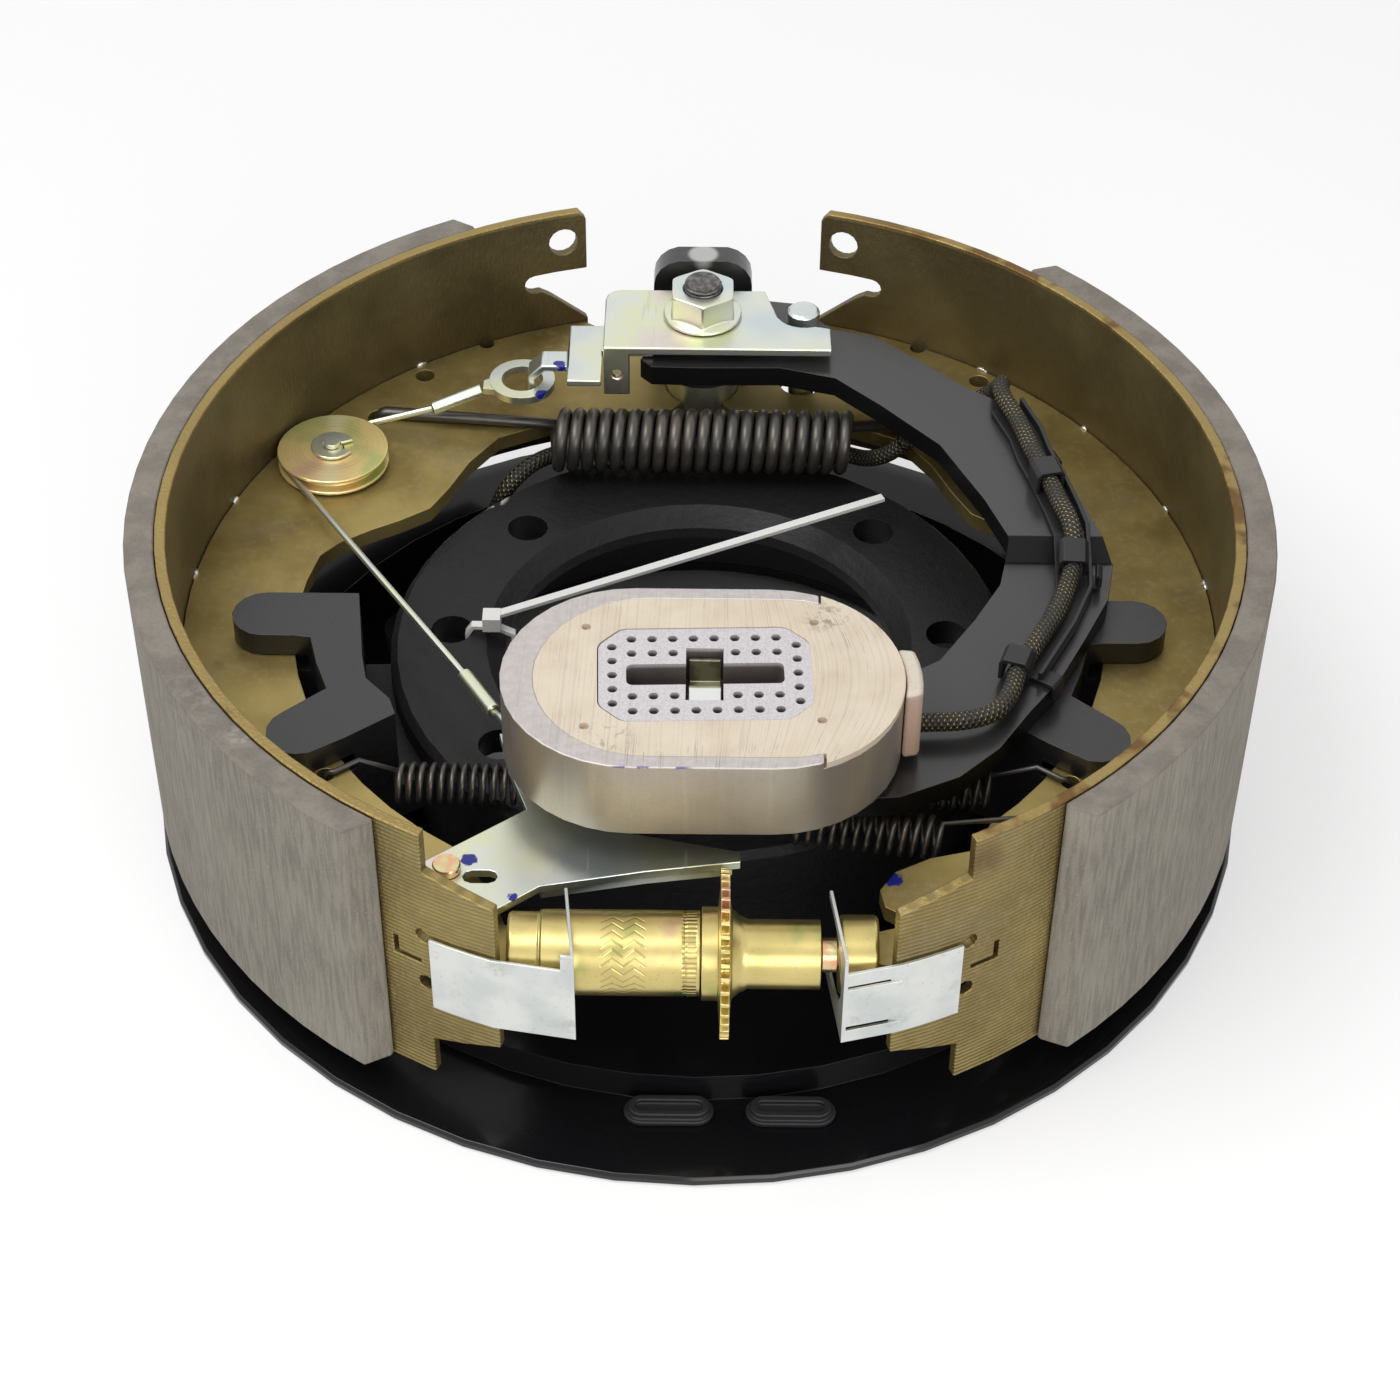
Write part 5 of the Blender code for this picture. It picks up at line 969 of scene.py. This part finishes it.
def flowing(points, step):
    """Points in metres, evenly spaced on a smooth curve through points in millimetres."""
    route = [mm(*point) for point in points]
    ends = [route[0] * 2 - route[1]] + route + [route[-1] * 2 - route[-2]]
    fine = [route[0]]
    for before, here, there, after in zip(ends, ends[1:], ends[2:], ends[3:]):
        count = max(1, round((there - here).length / (step * MM)))
        for i in range(1, count + 1):
            t = i / count
            rise = (there - before) * t
            curve = (2 * before - 5 * here + 4 * there - after) * t**2
            turn = (3 * here - before - 3 * there + after) * t**3
            fine.append(0.5 * (2 * here + rise + curve + turn))
    return fine


def coil(start, end, radius, turns, phase, per_turn):
    """Points of a helix in millimetres round the line from start to end."""
    first = Vector(start)
    axis = Vector(end) - first
    side = Vector((0, 0, 1)).cross(axis).normalized() if axis.x or axis.y else Vector((1, 0, 0))
    rise = axis.normalized().cross(side)
    count = turns * per_turn
    points = []
    for i in range(count + 1):
        turn = phase + FULL_TURN * i / per_turn
        outward = side * math.sin(turn) + rise * math.cos(turn)
        points.append(tuple(first + axis * i / count + outward * radius))
    return points


def wire(node, points, radius, body):
    """A spring's round wire along points in millimetres, in place of its solid."""
    line = bpy.data.curves.new(node + "_wire", "CURVE")
    line.dimensions = "3D"
    line.bevel_depth = radius
    line.bevel_resolution = 3
    line.use_fill_caps = True
    spline = line.splines.new("POLY")
    spline.points.add(len(points) - 1)
    for knot, point in zip(spline.points, points):
        knot.co = (*mm(*point), 1.0)
    spline.use_smooth = True
    show(node + "_wire", line, "spring_steel", body, "spring_steel", node)


def hook_down(x, y, height, low):
    """Wire end that comes from the middle above a web and turns down through its hole."""
    inward = -math.copysign(HOOK_BEND, x)
    points = [(x, y, low), (x, y, height - HOOK_BEND)]
    for i in range(1, HOOK_STEPS + 1):
        turn = QUARTER_TURN * i / HOOK_STEPS
        rise = HOOK_BEND * math.sin(turn)
        points.append((x + inward * (1 - math.cos(turn)), y, height - HOOK_BEND + rise))
    return points


class BrakeStage(bpy.types.Operator):
    """Pale floor, white surroundings, soft lamps and the photograph's camera"""

    bl_idname = "brake.stage"
    bl_label = "Stage"

    def execute(self, context):
        scene = context.scene
        scene.view_settings.view_transform = "Standard"
        world = bpy.data.worlds.new("pale room")
        scene.world = world
        world.use_nodes = True
        room = Nodes(world.node_tree)
        walls = world.node_tree.nodes["Background"].inputs
        room.put(walls["Color"], (1.0, 1.0, 1.0))
        room.put(walls["Strength"], room.seen() * (1.0 - ROOM_LIGHT) + ROOM_LIGHT)

        shape = bmesh.new()
        bmesh.ops.create_grid(shape, x_segments=1, y_segments=1, size=FLOOR_HALF)
        mesh = bpy.data.meshes.new("floor")
        shape.to_mesh(mesh)
        shape.free()
        floor = bpy.data.objects.new("floor", mesh)
        context.collection.objects.link(floor)
        mesh.materials.append(finish("floor_paper"))

        for name, spot, aim, wide, tall, power in LAMPS:
            lamp = bpy.data.lights.new(name, "AREA")
            lamp.shape = "RECTANGLE"
            lamp.size = wide
            lamp.size_y = tall
            lamp.energy = power
            stand = bpy.data.objects.new(name, lamp)
            context.collection.objects.link(stand)
            stand.location = spot
            stand.rotation_euler = (Vector(aim) - Vector(spot)).to_track_quat("-Z", "Y").to_euler()

        lens = bpy.data.cameras.new("camera")
        lens.sensor_width = SENSOR
        lens.lens = sizes().camera_lens
        camera = bpy.data.objects.new("camera", lens)
        context.collection.objects.link(camera)
        sight = (mm(*CAMERA_AIM) - mm(*CAMERA_SPOT)).to_track_quat("-Z", "Y").to_matrix().to_4x4()
        place = Matrix.Translation(mm(*CAMERA_SPOT))
        camera.matrix_world = place @ sight @ Matrix.Rotation(CAMERA_ROLL, 4, "Z")
        scene.camera = camera
        return {"FINISHED"}


PLATE_RIVETS = 4


class BrakePlate(bpy.types.Operator):
    """Backing plate with its rubber plugs, grommet and rivets"""

    bl_idname = "brake.plate"
    bl_label = "Backing plate"

    def execute(self, context):
        dressed("backing_plate", "black_gloss", 0.6)
        for node in ("access_plug_left", "access_plug_right", "lead_grommet"):
            dressed(node, "rubber", 0.35)
        for number in range(1, PLATE_RIVETS + 1):
            dressed(f"plate_rivet_{number}", "black_cast", 0.4)
        return {"FINISHED"}


class BrakeSpider(bpy.types.Operator):
    """The black casting that carries everything"""

    bl_idname = "brake.spider"
    bl_label = "Spider"

    def execute(self, context):
        dressed("spider", "black_cast", sizes().cast_rounding / MM)
        return {"FINISHED"}


SEAM_R = 143.4
SEAM_HIGH = 60.4
WELD_TURNS = (127.0, 143.5, 160.9, 174.8, 189.5, 204.0, 218.5, 232.0)
BEAD = (0.85, 1.9, 0.95)
BEAD_UNEVEN = 0.35


class BrakeShoes(bpy.types.Operator):
    """Rims, webs and linings of both shoes"""

    bl_idname = "brake.shoes"
    bl_label = "Shoes"

    def execute(self, context):
        for side in ("left", "right"):
            dressed("shoe_rim_" + side, "ribbed_zinc", 0.35)
            dressed("shoe_web_" + side, "olive_zinc", 0.35)
            dressed("lining_" + side, "lining", 0.5)
            self.beads(side)
        return {"FINISHED"}

    def beads(self, side):
        """Weld beads of uneven length where the web meets the rim."""
        shape = bmesh.new()
        wide, long, high = BEAD
        for i, degrees in enumerate(WELD_TURNS):
            turn = math.radians(degrees if side == "left" else 180.0 - degrees)
            stretch = 1.0 + BEAD_UNEVEN * math.sin(5.0 * i)
            place = Matrix.Rotation(turn, 4, "Z") @ Matrix.Translation((SEAM_R, 0.0, SEAM_HIGH))
            place = Matrix.Scale(MM, 4) @ place @ Matrix.Diagonal((wide, long * stretch, high, 1.0))
            bmesh.ops.create_icosphere(shape, subdivisions=2, radius=1.0, matrix=place)
        name = "weld_beads_" + side
        show(name, as_mesh(name, shape), "weld_metal", NODE_BODY["shoe_rim_" + side], "olive_zinc")


class BrakeAnchor(bpy.types.Operator):
    """Stud, nut, anchor plate and cable hook plate"""

    bl_idname = "brake.anchor"
    bl_label = "Anchor"

    def execute(self, context):
        dressed("anchor_stud", "threaded_steel", 0.4)
        for node in ("anchor_nut", "anchor_plate", "cable_hook_plate"):
            dressed(node, "bright_zinc", 0.45)
        return {"FINISHED"}


CABLE_FITTINGS = (
    "pulley_pin", "pulley_clip", "cable_eyelet", "cable_ferrule_top", "cable_ferrule_end", "cable_hook",
)


class BrakeCable(bpy.types.Operator):
    """Pulley, cable and its fittings"""

    bl_idname = "brake.cable"
    bl_label = "Adjuster cable"

    def execute(self, context):
        dressed("pulley", "turned_zinc")
        for node in CABLE_FITTINGS:
            dressed(node, "bright_zinc")
        dressed("adjuster_cable", "bright_zinc", 0.1)
        return {"FINISHED"}


HUB_R = 12.4
WHEEL_THINNED = 0.68
LEVER_PIN = (-62.9, -108.4)
LEVER_RIVET = (
    (0.0, 53.2), (4.6, 53.2), (5.0, 53.6), (5.0, 55.1), (3.0, 55.1),
    (3.0, 66.7), (3.6, 66.8), (3.6, 68.5), (3.3, 68.9), (0.0, 68.9),
)


class BrakeAdjuster(bpy.types.Operator):
    """Barrel, star wheel, cap, lever and clips"""

    bl_idname = "brake.adjuster"
    bl_label = "Adjuster"

    def execute(self, context):
        dressed("adjuster_barrel", "marked_barrel", 0.3)
        dressed("star_wheel", "yellow_zinc", 0.2, self.thin_wheel)
        dressed("adjuster_cap", "yellow_zinc", 0.3)
        dressed("thrust_washer", "copper")
        shown_for("lever_pin", "lever_rivet", lathe(LEVER_RIVET, *LEVER_PIN, 32), "copper")
        for node in ("adjuster_clip_left", "adjuster_clip_right"):
            dressed(node, "dull_zinc", 0.15)
        dressed("adjuster_lever", "bright_zinc", 0.3)
        return {"FINISHED"}

    def thin_wheel(self, shape):
        """Thins the toothed disc, which the solid keeps thick, about its middle plane."""
        hub = Vector((ADJUSTER_Y, ADJUSTER_Z)) * MM
        disc = [vert for vert in shape.verts if (vert.co.yz - hub).length > HUB_R * MM]
        middle = sum(vert.co.x for vert in disc) / len(disc)
        place = Matrix.Translation((-middle, 0.0, 0.0))
        bmesh.ops.scale(shape, vec=(WHEEL_THINNED, 1.0, 1.0), space=place, verts=disc)


GUIDE_WAY = (
    (88.0, 66.5, 81.3), (92.5, 53.0, 81.3), (94.2, 43.0, 81.3), (97.4, 31.0, 81.3),
    (100.2, 18.5, 81.3), (101.8, 9.6, 81.3), (102.3, 4.0, 75.6), (101.6, -8.0, 75.6),
    (96.2, -22.0, 75.6), (89.6, -35.0, 75.6), (85.4, -43.2, 75.6),
)
GUIDE_WALL = 1.2
GUIDE_GUTTER = ((-4.0, 0.0), (5.4, 0.0), (5.4, 3.2))
GUIDE_ARCH = ((-3.5, -3.2), (-3.5, 2.0), (-2.6, 3.2), (2.6, 3.2), (3.5, 2.0), (3.5, -3.2))
GUIDE_STRAPS = (
    ((96.5, 34.6, 85.1), (98.3, 27.2, 85.1)),
    ((102.6, 2.6, 82.9), (102.2, -4.8, 80.7)),
    ((85.3, -39.5, 79.3), (82.9, -46.3, 79.3)),
)
HOOK_HALF = 2.6
HOOK_OVER = ((-3.2, 0.0), (1.2, 0.0), (1.9, -0.7), (1.9, -4.6))
HOOK_UP = ((-3.0, 0.0), (1.8, 0.0), (2.6, 0.8), (2.6, 3.6), (1.4, 4.4))
GUIDE_HOOKS = (
    ((100.0, 44.0, 81.3), (8.2, -23.2, 0.0), HOOK_OVER),
    ((107.2, -4.6, 75.6), (-1.6, -15.0, 0.0), HOOK_UP),
    ((93.6, -45.0, 75.6), (-8.9, -12.7, 0.0), HOOK_OVER),
)


class BrakeArm(bpy.types.Operator):
    """Actuating arm with its bushing, pin and lead guide"""

    bl_idname = "brake.arm"
    bl_label = "Actuating arm"

    def execute(self, context):
        dressed("actuating_arm", "black_sheet", 0.8)
        dressed("arm_bushing", "spring_steel")
        for node in ("cam_pin", "magnet_post"):
            dressed(node, "bright_zinc", 0.4)
        self.guide()
        return {"FINISHED"}

    def guide(self):
        """Thin moulded gutter under the lead, with straps over it and hooks round the arm's edge."""
        shape = bmesh.new()
        way = [Vector(point) for point in GUIDE_WAY]
        ends = [way[0] * 2 - way[1], *way, way[-1] * 2 - way[-2]]
        level = Vector((1.0, 1.0, 0.0))
        frames = [
            frame_at(here, (there - before) * level) for before, here, there in zip(ends, way, ends[2:])
        ]
        swept(shape, frames, GUIDE_GUTTER)
        for start, end in GUIDE_STRAPS:
            run = Vector(end) - Vector(start)
            swept(shape, [frame_at(Vector(spot), run) for spot in (start, end)], GUIDE_ARCH)
        for spot, heading, section in GUIDE_HOOKS:
            run = Vector(heading).normalized() * HOOK_HALF
            swept(shape, [frame_at(Vector(spot) + side * run, run) for side in (-1, 1)], section)
        shape.transform(Matrix.Scale(MM, 4))
        piece = shown_for("wire_guide", "lead_guide", shape, "black_plastic")
        wall = piece.modifiers.new("Wall", "SOLIDIFY")
        wall.thickness = GUIDE_WALL * MM
        wall.offset = 0.0
        wall.use_even_offset = True
        eased(piece, 0.35 * MM)


CORE_SPOT = (1.6, -70.1)
CORE_INNER = (18.0, 12.0)
WINDOW_HALF = (28.0, 19.0)
CORNER_R = 1.6
CORNER_LONG = 15.0
HOLE_DEEP = 2.7
HOLE_R = 0.45
FACE_FILL = (1.003, 1.009)
CORE_FILL = (1.009, 1.013)
SHELL_MIDDLE_X = 52.4


class BrakeMagnet(bpy.types.Operator):
    """Magnet with its cup, face, core and clip"""

    bl_idname = "brake.magnet"
    bl_label = "Magnet"

    def execute(self, context):
        dressed("magnet_shell", "magnet_cup", 0.3)
        dressed("magnet_face", "friction_cream", 0.08, self.fit_face)
        dressed("magnet_core", "core_steel", 0.08, self.fit_core)
        dressed("magnet_clip", "clip_spring", 0.25)
        dressed("magnet_lug", "entry_cream", 1.2)
        return {"FINISHED"}

    def fit_face(self, shape):
        """Fills the slit round the face and rounds its window's corners."""
        spread(shape, (SHELL_MIDDLE_X, FACE_MIDDLE_Y, 0.0), *FACE_FILL)
        wide, deep = WINDOW_HALF

        def of_window(spot, long):
            x, y = self.off_core(spot)
            return long > CORNER_LONG and x < wide and y < deep

        rounded_corners(shape, CORNER_R, of_window)

    def fit_core(self, shape):
        """Fills the slit round the core and rounds its corners and its holes."""
        rounded_corners(shape, HOLE_R, lambda spot, long: abs(long - HOLE_DEEP) < 0.05)
        wide, deep = CORE_INNER

        def of_outline(spot, long):
            x, y = self.off_core(spot)
            return long > CORNER_LONG and (x > wide or y > deep)

        rounded_corners(shape, CORNER_R, of_outline)
        spread(shape, (*CORE_SPOT, 0.0), *CORE_FILL)

    def off_core(self, spot):
        """How far a spot lies from the core's middle, sideways and front to back."""
        return abs(spot.x - CORE_SPOT[0]), abs(spot.y - CORE_SPOT[1])


HOOK_BEND = 2.4
HOOK_STEPS = 5
RETURN_Z = 62.05
LIGHT_Z = 61.35
LIGHT_LOW = 53.45
SHOE_SPRING_Y = -68.0
SHOE_SPRING_Z = 57.5
MAGNET_WIRE = 0.7
MAGNET_TRAVEL = 1.6


class BrakeSprings(bpy.types.Operator):
    """The four coil springs"""

    bl_idname = "brake.springs"
    bl_label = "Springs"

    def execute(self, context):
        z = RETURN_Z
        turns = coil((-44.0, 75.0, z), (44.0, 75.0, z), 7.85, 21, QUARTER_TURN, 20)
        left = hook_down(-97.0, 87.6, z, 52.85)
        right = hook_down(97.0, 87.6, z, 52.85)
        wire("return_spring", left + turns + right[::-1], sizes().wire, "frame")

        y, z = SHOE_SPRING_Y, SHOE_SPRING_Z
        left = hook_down(-98.0, y, LIGHT_Z, LIGHT_LOW) + [(-89.5, y + 4.55, LIGHT_Z)]
        right = hook_down(98.0, y, LIGHT_Z, LIGHT_LOW) + [(89.5, y + 4.55, LIGHT_Z)]
        first = coil((-80.0, y, z), (-33.0, y, z), 4.95, 17, QUARTER_TURN, 16)
        second = coil((35.0, y, z), (77.0, y, z), 4.95, 15, QUARTER_TURN, 16)
        between = [(-29.0, y, z - 3.5), (31.0, y, z - 3.5)]
        wire("shoe_spring", left + first + between + second + right[::-1], sizes().thin_wire, "frame")

        turns = coil((63.0, -87.6, 58.6), (24.0, -82.0, 58.6), 5.2, 13, 0.0, 16)
        start = hook_down(86.6, -82.6, LIGHT_Z, LIGHT_LOW)
        tail = [(17.0, -80.2, LIGHT_Z + 0.8), (-46.0, -60.0, 62.9)]
        wire("lever_spring", start + turns + tail, sizes().thin_wire, "frame")

        low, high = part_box("magnet_spring")
        bottom = low.z / MM + MAGNET_WIRE
        top = high.z / MM - MAGNET_WIRE - MAGNET_TRAVEL
        turns = coil((0.9, -71.0, bottom), (0.9, -71.0, top), 8.4, 3, QUARTER_TURN, 20)
        wire("magnet_spring", turns, MAGNET_WIRE * MM, "arm")
        return {"FINISHED"}


LEAD_FIXED = (
    (-66.85, 79.67, 3.0), (-66.85, 79.67, 16.0), (-65.25, 77.67, 25.0), (-61.6, 73.0, 38.0),
    (-58.0, 72.6, 46.0), (-51.5, 77.0, 50.6), (-43.5, 82.6, 51.0), (-30.0, 84.2, 52.8),
    (0.0, 84.4, 52.8), (30.0, 84.2, 52.8), (42.0, 83.2, 51.8), (49.6, 79.0, 53.2),
    (55.4, 74.8, 58.0), (60.0, 73.4, 63.2),
)
LEAD_ARM = (
    (60.4, 73.28, 63.65), (61.7, 72.88, 65.1), (66.4, 73.8, 67.6), (73.6, 79.6, 69.0),
    (80.6, 84.6, 69.9), (86.6, 86.0, 73.4), (88.6, 81.6, 79.4), (87.6, 75.0, 83.8),
    (87.6, 68.5, 85.1), (91.0, 57.0, 85.1), (94.2, 43.0, 85.1), (97.4, 31.0, 85.1),
    (100.2, 18.5, 85.1), (102.4, 9.0, 85.1), (102.6, -1.0, 81.9), (100.6, -9.5, 79.5),
    (96.2, -22.0, 79.3), (89.6, -35.0, 79.3), (84.6, -45.0, 79.3), (81.8, -54.0, 79.3),
    (77.2, -61.4, 79.3), (69.0, -65.0, 79.3), (57.4, -66.0, 79.3),
)
LEAD_STEP = 1.6
LEAD_SIDES = 24


class BrakeLead(bpy.types.Operator):
    """The magnet's lead in its braided sleeve"""

    bl_idname = "brake.lead"
    bl_label = "Lead"

    def execute(self, context):
        fixed = self.sleeve("lead_sleeve_fixed", LEAD_FIXED, None, "lead_fixed")
        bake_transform(fixed)
        self.sleeve("lead_sleeve_arm", LEAD_ARM, "arm", "lead_arm")
        return {"FINISHED"}

    def sleeve(self, name, route, body, node):
        """One stretch of the lead; its length is worked out but not used."""
        points = flowing(route, LEAD_STEP)
        mesh = as_mesh(name, tube(points, sizes().lead, LEAD_SIDES))
        piece = show(name, mesh, "sleeve", body, "sleeve", node)
        run = sum((there - here).length for here, there in zip(points, points[1:]))
        return piece


TIE_HEAD = ((-61.5, -1.2, 51.6), (-55.5, 4.8, 57.0))
TIE_HEAD_R = 1.2


def inside(point, low, high):
    return all(least < value < most for least, value, most in zip(low, point, high))


class BrakeTie(bpy.types.Operator):
    """White cable tie looped through the flange"""

    bl_idname = "brake.tie"
    bl_label = "Cable tie"

    def execute(self, context):
        dressed("cable_tie", "nylon", 0.2, self.round_head)
        return {"FINISHED"}

    def round_head(self, shape):
        """Rounds the tie's head into a knob."""
        corners = [vert for vert in shape.verts if inside(vert.co / MM, *TIE_HEAD)]
        edges = [edge for edge in shape.edges if all(vert in corners for vert in edge.verts)]
        rounded(shape, edges, TIE_HEAD_R)


class BrakePanel(bpy.types.Panel):
    """Sizes, colours and pieces of the brake"""

    bl_idname = "VIEW3D_PT_brake"
    bl_label = "Brake"
    bl_space_type = "VIEW_3D"
    bl_region_type = "UI"
    bl_category = "Brake"

    def draw(self, context):
        for group in (context.scene.brake_sizes, context.scene.brake_colours):
            box = self.layout.box()
            for name in group.__annotations__:
                box.prop(group, name)
        for step in STEPS:
            self.layout.operator(step.bl_idname)


STEPS = (
    BrakeStage,
    BrakePlate,
    BrakeSpider,
    BrakeShoes,
    BrakeAnchor,
    BrakeCable,
    BrakeAdjuster,
    BrakeArm,
    BrakeMagnet,
    BrakeSprings,
    BrakeLead,
    BrakeTie,
)
CLASSES = (BrakeColours, BrakeSizes, *STEPS, BrakePanel)


def register():
    for cls in CLASSES:
        bpy.utils.register_class(cls)
    bpy.types.Scene.brake_colours = PointerProperty(type=BrakeColours)
    bpy.types.Scene.brake_sizes = PointerProperty(type=BrakeSizes)


def unregister():
    del bpy.types.Scene.brake_sizes
    del bpy.types.Scene.brake_colours
    for cls in reversed(CLASSES):
        bpy.utils.unregister_class(cls)


def main():
    register()
    for step in STEPS:
        group, name = step.bl_idname.split(".")
        getattr(getattr(bpy.ops, group), name)()


if __name__ == "__main__":
    main()
